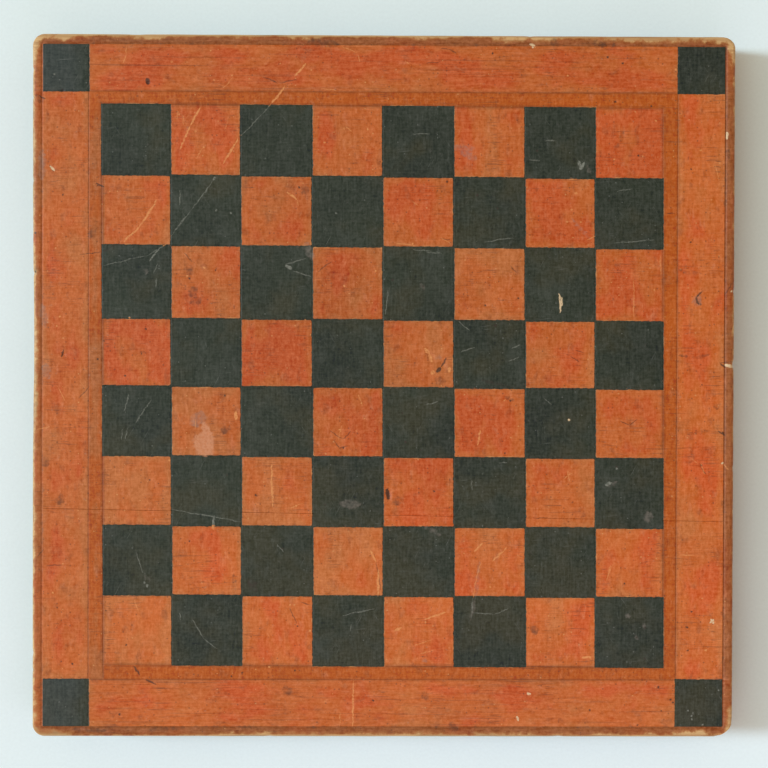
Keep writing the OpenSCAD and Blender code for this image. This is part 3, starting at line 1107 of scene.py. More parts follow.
    def aged(self, sketch: Sketch, place: Socket, colour: Socket) -> Socket:
        """The coat with its checks, specks, lines, dirt and bare wood.

        Args:
            sketch: The tree to draw in.
            place: Where the patterns are looked up.
            colour: The coat's colour.

        Returns:
            The colour with its wear.
        """
        checks = sketch.times(sketch.hairs(place, self.checks, self.check_width),
                              sketch.patches(place, self.cracked))
        colour = sketch.mix(checks, colour, self.speck)
        colour = sketch.mix(sketch.dots(place, self.specks), colour, self.speck)
        colour = sketch.mix(sketch.dots(place, self.flecks), colour, self.fleck)
        fine = sketch.add(*(sketch.threads(place, threads) for threads in self.scratches))
        colour = sketch.mix(sketch.times(fine, self.scratch_share), colour, self.fleck)
        drawn = sketch.times(sketch.attribute("line"), sketch.ripple(place, self.line_ink))
        colour = sketch.mix(drawn, colour, self.line)
        grimy = sketch.add(sketch.attribute("grime"),
                           *(sketch.ripple(place, ripple) for ripple in self.grime_stray))
        colour = sketch.mix(sketch.ramp(grimy, self.grime_share), colour, self.dirt)
        bare = sketch.attribute("bare")
        worn = sketch.add(bare, *(sketch.ripple(place, ripple) for ripple in self.flaking))
        honey = sketch.times(sketch.ramp(worn, self.honey_share),
                             sketch.ramp(bare, self.honey_reach))
        colour = sketch.mix(honey, colour, self.honey)
        wood = sketch.times(sketch.ramp(worn, self.wood_share), sketch.ramp(bare, self.wood_reach))
        return sketch.mix(wood, colour, self.wood.colour(sketch, place))

    def material(self) -> bpy.types.Material:
        """The finished material."""
        material, sketch, shader = new_material(self.name, self.orange)
        place = sketch.place_mm()
        parts = sketch.node("ShaderNodeSeparateXYZ", {0: place}).outputs
        across = sketch.node("ShaderNodeCombineXYZ", {0: parts[1], 1: parts[0]}).outputs[0]
        brush = sketch.mix(sketch.attribute("brushed"), place, across)
        brush = sketch.ruffled(brush, *self.brush_sway)
        colour = self.aged(sketch, place, self.coat(sketch, place, brush))
        ink = sketch.attribute("ink")
        chipped = sketch.times(sketch.ramp(ink, self.chips_by_ink),
                               sketch.patches(place, self.chips))
        colour = sketch.mix(chipped, colour, self.fleck)
        inked = sketch.ramp(sketch.add(ink, sketch.ripple(place, self.ink_stray)), self.ink_edge)
        colour = sketch.mix(inked, colour, self.dark_coat.on(sketch, place))
        colour = MarksOfUse().over(sketch, place, colour)
        sketch.tree.links.new(colour, shader.inputs["Base Color"])
        sketch.tree.links.new(sketch.ripple(place, self.sheen), shader.inputs["Roughness"])
        shader.inputs["Specular IOR Level"].default_value = self.gloss
        lay_relief(sketch, shader, (brush, self.brush_ridges), (place, self.grain_ridges))
        return material


@dataclass(frozen=True)
class OldSteel:
    """Dull steel of the screws, brown with rust in its hollows."""

    name: str = "Old steel"
    steel: Colour = (0.22, 0.20, 0.18)
    rust: Colour = (0.12, 0.05, 0.02)
    patch: Grain = Grain(1.6, 4)
    rusty: Span = Span(0.4, 0.65)
    roughness: Span = Span(0.4, 0.65, 0.45, 0.85)
    metallic: float = 0.7

    def material(self) -> bpy.types.Material:
        """The finished material."""
        material, sketch, shader = new_material(self.name, self.steel)
        patch = sketch.noise(sketch.place_mm(), self.patch)
        colour = sketch.mix(sketch.ramp(patch, self.rusty), self.steel, self.rust)
        sketch.tree.links.new(colour, shader.inputs["Base Color"])
        sketch.tree.links.new(sketch.ramp(patch, self.roughness), shader.inputs["Roughness"])
        shader.inputs["Metallic"].default_value = self.metallic
        return material


@dataclass(frozen=True)
class PaleWall:
    """The pale painted surface that the board lies on."""

    name: str = "Pale wall"
    colour: Colour = (0.785, 0.905, 0.905)
    light: tuple[Ripple, ...] = (Ripple(Grain(60.0, 3), 1.0, 0.012),
                                 Ripple(Grain(1.6, 3), 0.0, 0.022))
    roughness: float = 0.9
    gloss: float = 0.1

    def material(self) -> bpy.types.Material:
        """The finished material."""
        material, sketch, shader = new_material(self.name, self.colour)
        uneven = sketch.ripples(sketch.place_mm(), self.light)
        sketch.tree.links.new(sketch.shade(self.colour, uneven), shader.inputs["Base Color"])
        shader.inputs["Roughness"].default_value = self.roughness
        shader.inputs["Specular IOR Level"].default_value = self.gloss
        return material


# The panel

@dataclass(frozen=True)
class WornCorner:
    """How far handling has rounded one corner of the outline."""

    sides: tuple[Side, Side]
    along_x: float
    along_y: float


@dataclass(frozen=True)
class Dent:
    """A hollow knocked into the face, in millimetres."""

    place: Spot
    reach: Spot
    depth: float

    def at(self, x: np.ndarray, y: np.ndarray) -> np.ndarray:
        """How deep the face lies at places, in metres."""
        far = np.hypot((x / MM - self.place[0]) / self.reach[0],
                       (y / MM - self.place[1]) / self.reach[1])
        return self.depth * MM * (1 - clamp(far) ** 2) ** 2


@dataclass(frozen=True)
class Nick:
    """A bite out of the outline, in millimetres: its place along a side, length and depth."""

    side: Side
    along: float
    reach: float
    depth: float
    through: bool = False

    def at(self, along: np.ndarray) -> np.ndarray:
        """How far the outline stands in at places along its side, in metres."""
        return self.depth * MM * np.exp(-((along / MM - self.along) / self.reach) ** 2)


@dataclass(frozen=True)
class RimWear:
    """A stretch of one side's rim where the paint is rubbed off, in millimetres along it."""

    side: Side
    start: float
    end: float
    wear: float


@dataclass(frozen=True)
class SideLook:
    """How the coat looks along one side: its hue, and how light its border and bead are, partly
    painted light.
    """

    side: Side
    tone: float
    border: float
    bead: float


@dataclass(frozen=True)
class Fade:
    """An amount between 0 and 1 that falls with distance."""

    height: float
    over: float

    def at(self, distance: np.ndarray, unit: float) -> np.ndarray:
        """The amount at some distances, where the fade is measured in this unit."""
        return clamp(self.height - distance / (self.over * unit))


DENTS = (
    Dent((-175, 160.5), (1.3, 1.3), 0.8), Dent((-128.5, 164.5), (1.3, 1.3), 0.8),
    Dent((3, -58.5), (1.7, 5.6), 0.9), Dent((25.5, 16.5), (3.4, 4.6), 0.4),
    Dent((32, 11.5), (3.0, 4.4), 0.6), Dent((108.5, 84.5), (3.6, 4.6), 0.4),
    Dent((-180.5, 118), (1.8, 1.4), 0.6), Dent((173.5, -42.5), (1.6, 1.6), 0.6),
    Dent((55, 44.5), (1.3, 1.3), 0.6), Dent((125.5, 155.5), (1.3, 1.3), 0.7),
    Dent((-174, 17), (1.5, 1.5), 0.6), Dent((-22, -33.5), (1.2, 1.2), 0.5),
)
NICKS = (
    Nick(Side.LEFT, 25, 45, 0.7, through=True), Nick(Side.LEFT, 171.5, 1.2, 0.4),
    Nick(Side.LEFT, 156.5, 1.0, 0.35), Nick(Side.LEFT, 111.5, 1.4, 0.4),
    Nick(Side.LEFT, 61, 1.2, 0.6), Nick(Side.LEFT, -145.5, 1.6, 0.45),
    Nick(Side.LEFT, -155, 1.0, 0.35), Nick(Side.RIGHT, 12.5, 2.2, 0.9),
    Nick(Side.RIGHT, 52.5, 1.6, 0.5), Nick(Side.RIGHT, -44, 1.4, 0.35),
    Nick(Side.BACK, -135, 4.5, 0.35), Nick(Side.BACK, 79, 1.6, 0.3),
    Nick(Side.FRONT, 96, 2.0, 0.35), Nick(Side.FRONT, -62, 1.8, 0.3),
)
RIM_WEAR = (
    RimWear(Side.BACK, -191, -172, 1.0), RimWear(Side.BACK, -172, -146, 0.75),
    RimWear(Side.BACK, -146, -122, 0.82), RimWear(Side.BACK, -122, 22, 0.64),
    RimWear(Side.BACK, 22, 60, 0.78), RimWear(Side.BACK, 60, 92, 0.86),
    RimWear(Side.BACK, 92, 117, 0.64), RimWear(Side.BACK, 117, 191, 0.88),
    RimWear(Side.LEFT, -172, -60, 0.56), RimWear(Side.LEFT, -60, -24, 0.7),
    RimWear(Side.LEFT, -24, 35, 0.84), RimWear(Side.LEFT, 35, 75, 0.68),
    RimWear(Side.LEFT, 75, 176, 0.58), RimWear(Side.LEFT, 176, 191, 0.9),
    RimWear(Side.LEFT, -191, -172, 0.86), RimWear(Side.RIGHT, -178, 178, 0.3),
    RimWear(Side.RIGHT, 178, 191, 0.88), RimWear(Side.RIGHT, -191, -178, 0.88),
    RimWear(Side.FRONT, -191, -172, 0.86), RimWear(Side.FRONT, -172, -95, 0.4),
    RimWear(Side.FRONT, -95, 34, 0.68), RimWear(Side.FRONT, 34, 160, 0.74),
    RimWear(Side.FRONT, 160, 191, 0.86),
)
# Border and bead factors are partly painted light: right and front borders and the left bead are
# lighter where the light falls more strongly; all beads are darker partly from wear. The left border's
# more golden tone is partly a painted sheen.
SIDE_LOOKS = (
    SideLook(Side.LEFT, -0.25, 1.03, 0.8), SideLook(Side.RIGHT, 0.1, 1.12, 0.66),
    SideLook(Side.BACK, 0.45, 1.0, 0.6), SideLook(Side.FRONT, 0.2, 1.05, 0.61),
)
SQUARE_TONES = {
    (7, 0): 1.0, (1, 0): 0.5, (0, 3): 0.7, (4, 1): 0.4, (3, 4): 0.5, (2, 3): 0.5, (4, 5): 0.8,
    (6, 1): 0.5, (7, 2): 0.6, (5, 4): 0.4, (0, 7): -0.6, (5, 2): -0.6, (1, 4): -0.8, (0, 5): -0.7,
    (4, 3): -0.3, (3, 6): -0.4, (2, 5): -0.5,
}


@dataclass(frozen=True)
class Panel:
    """The two glued boards with their scribed lines and the worked bead round their edge.

    A tone is the coat's hue, golden below 0 and rosy above it. A shade or a light is a factor of
    its lightness. Soil, grime and what is named dark are amounts between 0 and 1.
    """

    layout: Layout
    spacing: float = 4.0 * MM
    line_offsets: tuple[float, ...] = (0.15 * MM, 0.4 * MM, 0.6 * MM, 0.9 * MM, 1.7 * MM)
    detail_steps: tuple[float, ...] = (-1.0, -0.6, -0.25, 0.25, 0.6, 1.0)
    nick_spread: float = 2.0
    closest: float = 0.12 * MM
    joint_ease: float = 0.2 * MM
    corner_steps: int = 12
    groove_wall: tuple[Spot, ...] = ((0.2, 0.0), (0.0, 0.07), (-0.15, 0.4), (-0.35, 0.85),
                                     (-0.55, 1.0), (-0.75, 0.9))
    bead_steps: int = 13
    bead_flat: float = 0.8
    bead_inner: float = 0.8
    side_stops: tuple[float, ...] = (0.0, 0.1, 0.3, 0.65, 1.0)
    back_round: float = 1.5 * MM
    back_steps: int = 4
    nick_height: float = 7.0 * MM
    rim_wave: float = 60 * MM
    rim_seed: int = 3
    rim_stray: float = 0.1 * MM
    sharp_angle: float = math.radians(40)
    square_edge: float = 0.9 * MM
    field_edge: float = 0.65 * MM
    lip_edge: float = 0.2 * MM
    line_dark: float = 0.7
    smudge_dark: float = 0.4
    smudge_reach: float = 1.1 * MM
    frame_dark: float = 0.5
    frame_reach: float = 1.7 * MM
    seam_dark: float = 0.5
    thin_reach: float = 5.5 * MM
    field_tone: float = 0.1
    deep_tone: float = -4.0
    left_band_sheen_tone: float = -1.9
    bead_tone: float = -0.9
    field_light: float = 1.03
    middle_dimming: float = 0.13
    dimming_place: Spot = (-30, 40)
    dimming_reach: Spot = (90, 80)
    painted_front_light: float = 0.08
    front_start: float = 50
    front_reach: float = 50
    band_shade: float = 0.86
    arris_fade: Fade = Fade(1.6, 1.2)
    narrow_fade: Fade = Fade(1.35, 1.3)
    wide_fade: Fade = Fade(1.4, 1.6)
    wide_from: float = 0.84
    arris_gain: float = 1.5
    wear_band: float = 3 * MM
    wear_fade: float = 8.0
    bare_fade: float = 3.5 * MM
    groove_darkening: float = 0.36
    groove_offset: float = 0.4 * MM
    groove_reach: float = 1.8 * MM
    bead_grime: float = 0.1
    side_grime: float = 0.5
    side_grime_from: float = 4 * MM
    side_grime_over: float = 8 * MM
    dents: tuple[Dent, ...] = DENTS
    nicks: tuple[Nick, ...] = NICKS
    rim_wear: tuple[RimWear, ...] = RIM_WEAR
    side_looks: tuple[SideLook, ...] = SIDE_LOOKS
    worn_corners: tuple[WornCorner, ...] = (
        WornCorner((Side.LEFT, Side.BACK), 6.3 * MM, 6.3 * MM),
        WornCorner((Side.RIGHT, Side.BACK), 9.3 * MM, 6.3 * MM),
        WornCorner((Side.LEFT, Side.FRONT), 6.5 * MM, 6.5 * MM),
        WornCorner((Side.RIGHT, Side.FRONT), 13.0 * MM, 9.8 * MM),
    )

    # The form

    def profile(self) -> list[Spot]:
        """The worked edge from the face outwards, as distance from the outline and height.

        Returns:
            Pairs of metres, from the lip to the back.
        """
        lay = self.layout
        lip = lay.bead_w + lay.quirk_w / 2
        points = [(lip + out * MM, -depth * lay.quirk_d) for out, depth in self.groove_wall]
        bead_r = lay.bead_r
        flat = self.bead_flat
        for k in range(1, self.bead_steps):
            angle = math.pi * k / self.bead_steps
            inner = lay.quirk_d * self.bead_inner if k < self.bead_steps / 2 else bead_r
            out = bead_r * (1 + math.copysign(abs(math.cos(angle)) ** flat, math.cos(angle)))
            points.append((out, inner * (math.sin(angle) ** flat - 1)))
        back = lay.back_z - lay.face_z + self.back_round
        points += [(0.0, share * (back + bead_r) - bead_r) for share in self.side_stops]
        for k in range(1, self.back_steps + 1):
            angle = math.pi / 2 * k / self.back_steps
            points.append((self.back_round * (1 - math.cos(angle)),
                           back - self.back_round * math.sin(angle)))
        return points

    def rulings(self, rules: Sequence[Rule], scribed: Sequence[bool],
                details: Sequence[float]) -> tuple[np.ndarray, np.ndarray]:
        """Places and slopes of the grid's curves in one direction.

        Args:
            rules: The lines that the grid must follow, in order.
            scribed: For each of them, whether it is cut into the face.
            details: More places that it should have, for dents and nicks.

        Returns:
            The places and the slopes.
        """
        found: list[tuple[float, float]] = []
        reach = self.line_offsets[-1]
        for rule, cut in zip(rules, scribed):
            if found:
                start, slope = found[-1]
                end = rule.place - (reach if cut else 0.0)
                count = max(1, math.ceil((end - start) / self.spacing))
                found += [(start + (end - start) * k / count,
                           slope + (rule.slope - slope) * k / count) for k in range(1, count)]
            offsets = self.line_offsets if cut else ()
            found += [(rule.place + offset, rule.slope)
                      for offset in sorted({0.0, *offsets, *(-o for o in offsets)})]
        places = np.array([place for place, _ in found])
        slopes = np.array([slope for _, slope in found])
        for extra in sorted(details):
            inside = places[0] < extra < places[-1]
            if inside and np.abs(places - extra).min() > self.closest:
                spot = np.searchsorted(places, extra)
                slopes = np.insert(slopes, spot, np.interp(extra, places, slopes))
                places = np.insert(places, spot, extra)
        return places, slopes

    def detail_places(self, axis: int) -> list[float]:
        """Where the grid's curves across one axis are needed for dents and nicks.

        Args:
            axis: 0 for columns and 1 for rows.

        Returns:
            Places along the axis, in metres.
        """
        places = []
        for dent in self.dents:
            places += [(dent.place[axis] + step * dent.reach[axis]) * MM
                       for step in self.detail_steps]
        for nick in self.nicks:
            if not nick.through and nick.side.value[1 - axis]:
                places += [(nick.along + step * self.nick_spread * nick.reach) * MM
                           for step in self.detail_steps]
        return places

    def column_rulings(self) -> tuple[np.ndarray, np.ndarray]:
        """The grid's columns from the left edge to the right edge.

        Returns:
            The columns, as rulings gives them.
        """
        lay = self.layout
        rules = [Rule(-lay.corner), lay.border(Side.LEFT), *lay.columns(), lay.border(Side.RIGHT),
                 Rule(lay.corner)]
        scribed = [False] + [True] * (len(rules) - 2) + [False]
        return self.rulings(rules, scribed, self.detail_places(0))

    def row_rulings(self, cut: Cut) -> tuple[np.ndarray, np.ndarray]:
        """The grid's rows of one board, from its front to its back.

        Args:
            cut: The board.

        Returns:
            The rows, as rulings gives them.
        """
        lay = self.layout
        ease = Rule(lay.joint.place + cut.value * self.joint_ease, lay.joint.slope)
        rows = lay.rows()[::-1]
        if cut is Cut.BACK_BOARD:
            beyond = [r for r in rows if r.place > lay.joint.place]
            rules = [lay.joint, ease, *beyond, lay.border(Side.BACK), Rule(lay.corner)]
            scribed = [False, False] + [True] * (len(beyond) + 1) + [False]
        else:
            before = [r for r in rows if r.place < lay.joint.place]
            rules = [Rule(-lay.corner), lay.border(Side.FRONT), *before, ease, lay.joint]
            scribed = [False] + [True] * (len(before) + 1) + [False, False]
        clear = 2 * self.joint_ease
        details = [y for y in self.detail_places(1) if abs(y - lay.joint.place) > clear]
        return self.rulings(rules, scribed, details)

    def scribed(self, x: np.ndarray, y: np.ndarray, reach: float) -> np.ndarray:
        """How near places of the face are to a scribed line.

        Args:
            x: Their places along x.
            y: Their places along y.
            reach: How far from a line the result falls to 0.

        Returns:
            1 on a line and less beside it.
        """
        lay = self.layout
        near = np.zeros(x.shape)
        over = lay.line_overrun
        ends_x = (lay.column(0).at(y) - over, lay.column(lay.squares).at(y) + over)
        ends_y = (lay.row(lay.squares).at(x) - over, lay.row(0).at(x) + over)
        front = lay.border(Side.FRONT).place

        def beside(off: np.ndarray) -> np.ndarray:
            """How near a distance from a line is to 0."""
            return clamp(1 - np.abs(off) / reach)

        def within(value: np.ndarray, low: np.ndarray, high: np.ndarray) -> np.ndarray:
            """1 between the ends, falling to 0 over the overrun."""
            return clamp(np.minimum(value - low, high - value) / over)

        for i, column in enumerate(lay.columns()):
            low = np.full_like(x, front) if i == 0 else ends_y[0]
            near = np.maximum(near, beside(x - column.at(y)) * within(y, low, ends_y[1]))
        for row in lay.rows():
            near = np.maximum(near, beside(y - row.at(x)) * within(x, *ends_x))
        for side in Side:
            near = np.maximum(near, beside((x, y)[side.axis] - lay.border(side).place))
        return near

    def framed(self, x: np.ndarray, y: np.ndarray, reach: float) -> np.ndarray:
        """How near places are to the outline of all the squares, 1 on it and 0 from reach away.

        Args:
            x, y: Places on the face, in metres.
            reach: Distance in metres at which it ends.

        Returns:
            An amount for each place.
        """
        lay = self.layout
        columns, rows = lay.columns(), lay.rows()
        inside = np.min([x - columns[0].at(y), columns[-1].at(y) - x,
                         rows[0].at(x) - y, y - rows[-1].at(x)], axis=0)
        return clamp(1 - np.abs(inside) / reach)

    def worn(self, points: np.ndarray) -> np.ndarray:
        """Points of the outline brought in to its worn corners, nicks and hollows.

        Args:
            points: Rows of x, y and z in metres.

        Returns:
            The moved points.
        """
        moved = points.copy()
        lay = self.layout
        for corner in self.worn_corners:
            signs = np.array([corner.sides[0].value[0], corner.sides[1].value[1]])
            reach = np.array([corner.along_x, corner.along_y])
            centre = lay.half - reach
            away = (moved[:, :2] * signs - centre) / reach
            far = np.sqrt((np.maximum(away, 0) ** 2).sum(axis=1))
            hit = (far > 1) & (away > 0).all(axis=1)
            moved[hit, :2] = (centre + away[hit] / far[hit, None] * reach) * signs
        x, y, z = points.T
        rim = clamp(1 - (lay.from_outline(x, y) - lay.bead_r) / lay.bead_r)
        low = clamp(1 - (lay.face_z - z) / self.nick_height)
        for side in Side:
            axis = side.axis
            outward = side.value[axis]
            along = points[:, 1 - axis]
            near = clamp((outward * points[:, axis] - lay.corner) / lay.outline_r * 2) * rim
            shift = near * (1 + swell(along, z, self.rim_wave, self.rim_seed)) * self.rim_stray
            for nick in self.nicks:
                if nick.side is side:
                    shift += nick.at(along) * near * (1 if nick.through else low)
            moved[:, axis] -= outward * shift
        return moved

    def build(self, cut: Cut) -> bpy.types.Mesh:
        """The closed mesh of one board.

        Args:
            cut: Which board.

        Returns:
            Its mesh, with what its paint needs to know held at its points.
        """
        lay = self.layout
        col_place, col_slope = self.column_rulings()
        row_place, row_slope = self.row_rulings(cut)
        a, b = col_place[:, None], col_slope[:, None]
        c, d = row_place[None, :], row_slope[None, :]
        x = (a + b * c) / (1 - b * d)
        y = c + d * x
        z = lay.face_z - lay.line_d * self.scribed(x, y, lay.line_w / 2)
        z -= sum(dent.at(x, y) for dent in self.dents)
        joint_q = 0 if cut is Cut.BACK_BOARD else -1
        z[:, joint_q] -= self.joint_ease
        wide, tall = x.shape
        index = np.arange(wide * tall).reshape(wide, tall)

        stops = self.ring(cut, wide, tall)
        profile = self.profile()
        run = np.array([lay.outline_r - out for out, _ in profile])
        height = np.array([h for _, h in profile])
        base = np.array([[x[cell], y[cell]] for cell, _ in stops])
        ways = np.array([way for _, way in stops])
        ring_xy = base[:, None, :] + ways[:, None, :] * run[None, :, None]
        ring_z = np.broadcast_to(lay.face_z + height, ring_xy.shape[:2])
        points = np.concatenate([
            np.stack([x, y, z], axis=-1).reshape(-1, 3),
            np.concatenate([ring_xy, ring_z[..., None]], axis=-1).reshape(-1, 3)])
        first = wide * tall
        rims = first + np.arange(len(stops) * len(profile)).reshape(-1, len(profile))
        full = np.column_stack([[index[cell] for cell, _ in stops], rims])

        faces = [[index[p, q], index[p + 1, q], index[p + 1, q + 1], index[p, q + 1]]
                 for p in range(wide - 1) for q in range(tall - 1)]
        for s in range(len(stops) - 1):
            for k in range(len(profile)):
                corners = [full[s, k], full[s + 1, k], full[s + 1, k + 1], full[s, k + 1]]
                faces.append(list(dict.fromkeys(corners)))
        painted = len(faces)
        ends = (full[-1, 1:], full[0, :0:-1])
        if cut is Cut.FRONT_BOARD:
            ends = (full[0, 1:], full[-1, :0:-1])
        faces.append([*index[:, joint_q], *ends[0], *ends[1]])
        faces.append(list(full[:, -1]))

        mesh = bpy.data.meshes.new(cut.node)
        mesh.from_pydata([tuple(p) for p in self.worn(points)], [],
                         [[int(i) for i in face] for face in faces])
        for face in mesh.polygons[painted:]:
            face.material_index = 1
        self.close(mesh)
        for name, values in self.paint_guides(*points.T).items():
            point_values(mesh, name, values)
        return mesh

    def ring(self, cut: Cut, wide: int, tall: int) -> list[tuple[tuple[int, int], Spot]]:
        """The way round a board's outer edge, from one end of its joint to the other.

        Args:
            cut: Which board.
            wide: Columns of its grid.
            tall: Rows of its grid.

        Returns:
            For each stop, its point of the grid and the outward direction.
        """
        last_p, last_q = wide - 1, tall - 1
        if cut is Cut.BACK_BOARD:
            legs = [(Side.LEFT, [(0, q) for q in range(tall)]),
                    (Side.BACK, [(p, last_q) for p in range(wide)]),
                    (Side.RIGHT, [(last_p, q) for q in range(last_q, -1, -1)])]
        else:
            legs = [(Side.RIGHT, [(last_p, q) for q in range(last_q, -1, -1)]),
                    (Side.FRONT, [(p, 0) for p in range(last_p, -1, -1)]),
                    (Side.LEFT, [(0, q) for q in range(tall)])]
        stops: list[tuple[tuple[int, int], Spot]] = []
        for leg, (side, cells) in enumerate(legs):
            if leg:
                before, turn = Vector(legs[leg - 1][0].value), Vector(side.value)
                for k in range(1, self.corner_steps):
                    angle = math.pi / 2 * k / self.corner_steps
                    way = before * math.cos(angle) + turn * math.sin(angle)
                    stops.append((cells[0], tuple(way)))
            stops += [(cell, side.value) for cell in cells]
        return stops

    def close(self, mesh: bpy.types.Mesh) -> None:
        """Points every face outwards and smooths the worked shapes."""
        work = bmesh.new()
        work.from_mesh(mesh)
        bmesh.ops.recalc_face_normals(work, faces=work.faces)
        work.to_mesh(mesh)
        work.free()
        mesh.shade_smooth()
        mesh.set_sharp_from_angle(angle=self.sharp_angle)

    # What the paint does

    def ink(self, x: np.ndarray, y: np.ndarray) -> np.ndarray:
        """1 on a dark square and -1 on an orange one, crossing over at its painted edge.

        Args:
            x, y: Places on the face, in metres.

        Returns:
            A value for each place.
        """
        lay = self.layout
        soft = self.square_edge
        columns, rows = lay.columns(), lay.rows()
        field = -np.prod([clamp((x - c.at(y)) / soft, -1, 1) for c in columns[1:-1]], axis=0)
        field *= -np.prod([clamp((r.at(x) - y) / soft, -1, 1) for r in rows[1:-1]], axis=0)
        for inside in (x - columns[0].at(y), columns[-1].at(y) - x,
                       rows[0].at(x) - y, y - rows[-1].at(x)):
            field = np.minimum(field, clamp(inside / self.field_edge, -1, 1))
        past_x = np.maximum(lay.border(Side.LEFT).place - x, x - lay.border(Side.RIGHT).place)
        past_y = np.maximum(lay.border(Side.FRONT).place - y, y - lay.border(Side.BACK).place)
        corners = clamp(np.minimum(past_x, past_y) / soft, -1, 1)
        in_lip = clamp((lay.lip - np.maximum(np.abs(x), np.abs(y))) / self.lip_edge, -1, 1)
        return np.maximum(field, np.minimum(corners, in_lip))

    def pencilled(self, x: np.ndarray, y: np.ndarray) -> np.ndarray:
        """How dark the dirt is that lies in and beside the scribed lines, from 0 to 1.

        Args:
            x, y: Places on the face, in metres.

        Returns:
            An amount for each place.
        """
        lay = self.layout
        seam = np.abs(y - lay.joint.at(x)) < self.closest / 2
        return np.max([self.line_dark * self.scribed(x, y, lay.line_w / 2),
                       self.smudge_dark * self.scribed(x, y, self.smudge_reach),
                       self.frame_dark * self.framed(x, y, self.frame_reach),
                       self.seam_dark * seam], axis=0)

    def edge(self, x: np.ndarray, y: np.ndarray) -> np.ndarray:
        """How near places are to a line or the lip, where the coat is thinner."""
        to_lip = self.layout.lip - np.maximum(np.abs(x), np.abs(y))
        reach = self.thin_reach
        return np.maximum(self.scribed(x, y, reach), clamp(1 - np.abs(to_lip) / reach))

    def tone(self, x: np.ndarray, y: np.ndarray) -> np.ndarray:
        """The coat's hue, from golden at -1 to rosy at 1.

        Args:
            x, y: Places on the face, in metres.

        Returns:
            A hue for each place.
        """
        lay = self.layout
        column = sum((x > c.at(y)).astype(int) for c in lay.columns()) - 1
        row = sum((y < r.at(x)).astype(int) for r in lay.rows()) - 1
        inside = (column >= 0) & (column < lay.squares) & (row >= 0) & (row < lay.squares)
        tone = np.where(inside, self.field_tone, self.deep_tone)
        for (i, j), value in SQUARE_TONES.items():
            tone[(column == i) & (row == j)] = value
        # The left band's more golden tone is partly a painted sheen of the light from the left.
        tone[x < -lay.half_field] = self.left_band_sheen_tone
        for look in self.side_looks:
            tone[look.side.outward(x, y) > abs(lay.border(look.side).place)] = look.tone
        tone[np.maximum(np.abs(x), np.abs(y)) > lay.lip + self.closest] = self.bead_tone
        return tone

    def paint_guides(self, x: np.ndarray, y: np.ndarray, z: np.ndarray) -> dict[str, np.ndarray]:
        """What each point of a board tells its paint.

        Args:
            x: Places of the points.
            y: Their places towards the back.
            z: Their heights.

        Returns:
            The values for each of the paint's attributes.
        """
        lay = self.layout
        off_face = np.maximum(np.abs(x), np.abs(y)) > lay.lip + self.closest
        out = lay.from_outline(x, y)
        arris = self.arris_fade.at(out, MM)
        bare = np.zeros(len(x))
        for wear in self.rim_wear:
            outward, along = wear.side.outward(x, y), (y, x)[wear.side.axis] / MM
            inside = np.minimum(along - wear.start, wear.end - along)
            near = (outward > lay.corner - self.wear_band) * clamp(1 + inside / self.wear_fade)
            fade = self.wide_fade if wear.wear > self.wide_from else self.narrow_fade
            worn = np.maximum(arris * min(1.0, self.arris_gain * wear.wear),
                              fade.at(out, lay.bead_r) * wear.wear ** 2)
            bare = np.maximum(bare, worn * near)
        below = lay.face_z - z
        bare *= clamp(1 - (below - lay.bead_r) / self.bare_fade)
        # Darker along the bead's groove and the edge of the border beside it.
        off_groove = np.abs(out - lay.bead_w - self.groove_offset)
        grime = clamp(1 - off_groove / self.groove_reach) * self.groove_darkening
        grime += self.bead_grime * off_face
        grime += self.side_grime * clamp((below - self.side_grime_from) / self.side_grime_over)
        return {
            "line": self.pencilled(x, y) * ~off_face,
            "ink": np.where(off_face, -1.0, self.ink(x, y)),
            "edge": self.edge(x, y) * ~off_face,
            "tone": self.tone(x, y),
            "brushed": (np.abs(y) > lay.border_line) * 1.0,
            "shade": self.shade(x, y),
            "bare": bare,
            "grime": grime,
        }

    def shade(self, x: np.ndarray, y: np.ndarray) -> np.ndarray:
        """How light the coat is: dim in a middle patch and on the bands, painted light at the front
        and sides.

        Args:
            x, y: Places on the face, in metres.

        Returns:
            A factor for each place.
        """
        lay = self.layout
        # A broad dimmer patch a little left of and behind the middle.
        off_x = (x / MM - self.dimming_place[0]) / self.dimming_reach[0]
        off_y = (y / MM - self.dimming_place[1]) / self.dimming_reach[1]
        shade = self.field_light - self.middle_dimming * np.exp(-off_x ** 2 - off_y ** 2)
        # Painted light: the coat is made lighter towards the front, where the light falls more
        # strongly.
        shade += self.painted_front_light * clamp((-y / MM - self.front_start) / self.front_reach)
        shade[np.maximum(np.abs(x), np.abs(y)) > lay.half_field] = self.band_shade
        # Painted light in part: each side's border and bead get their own lightness, lighter where the
        # light falls more strongly.
        for look in self.side_looks:
            shade[look.side.outward(x, y) > lay.border_line] = look.border
        for look in self.side_looks:
            shade[look.side.outward(x, y) > lay.lip + self.closest] = look.bead
        return shade

    def make(self) -> None:
        """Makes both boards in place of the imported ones."""
        paint, wood = OrangePaint().material(), AgedPine("Bare pine").material()
        for cut in Cut:
            mesh = self.build(cut)
            for material in (paint, wood):
                mesh.materials.append(material)
            finish_piece(plain_object(cut.node + "_dressed", mesh), "orange_paint", cut.node)


# The dark squares

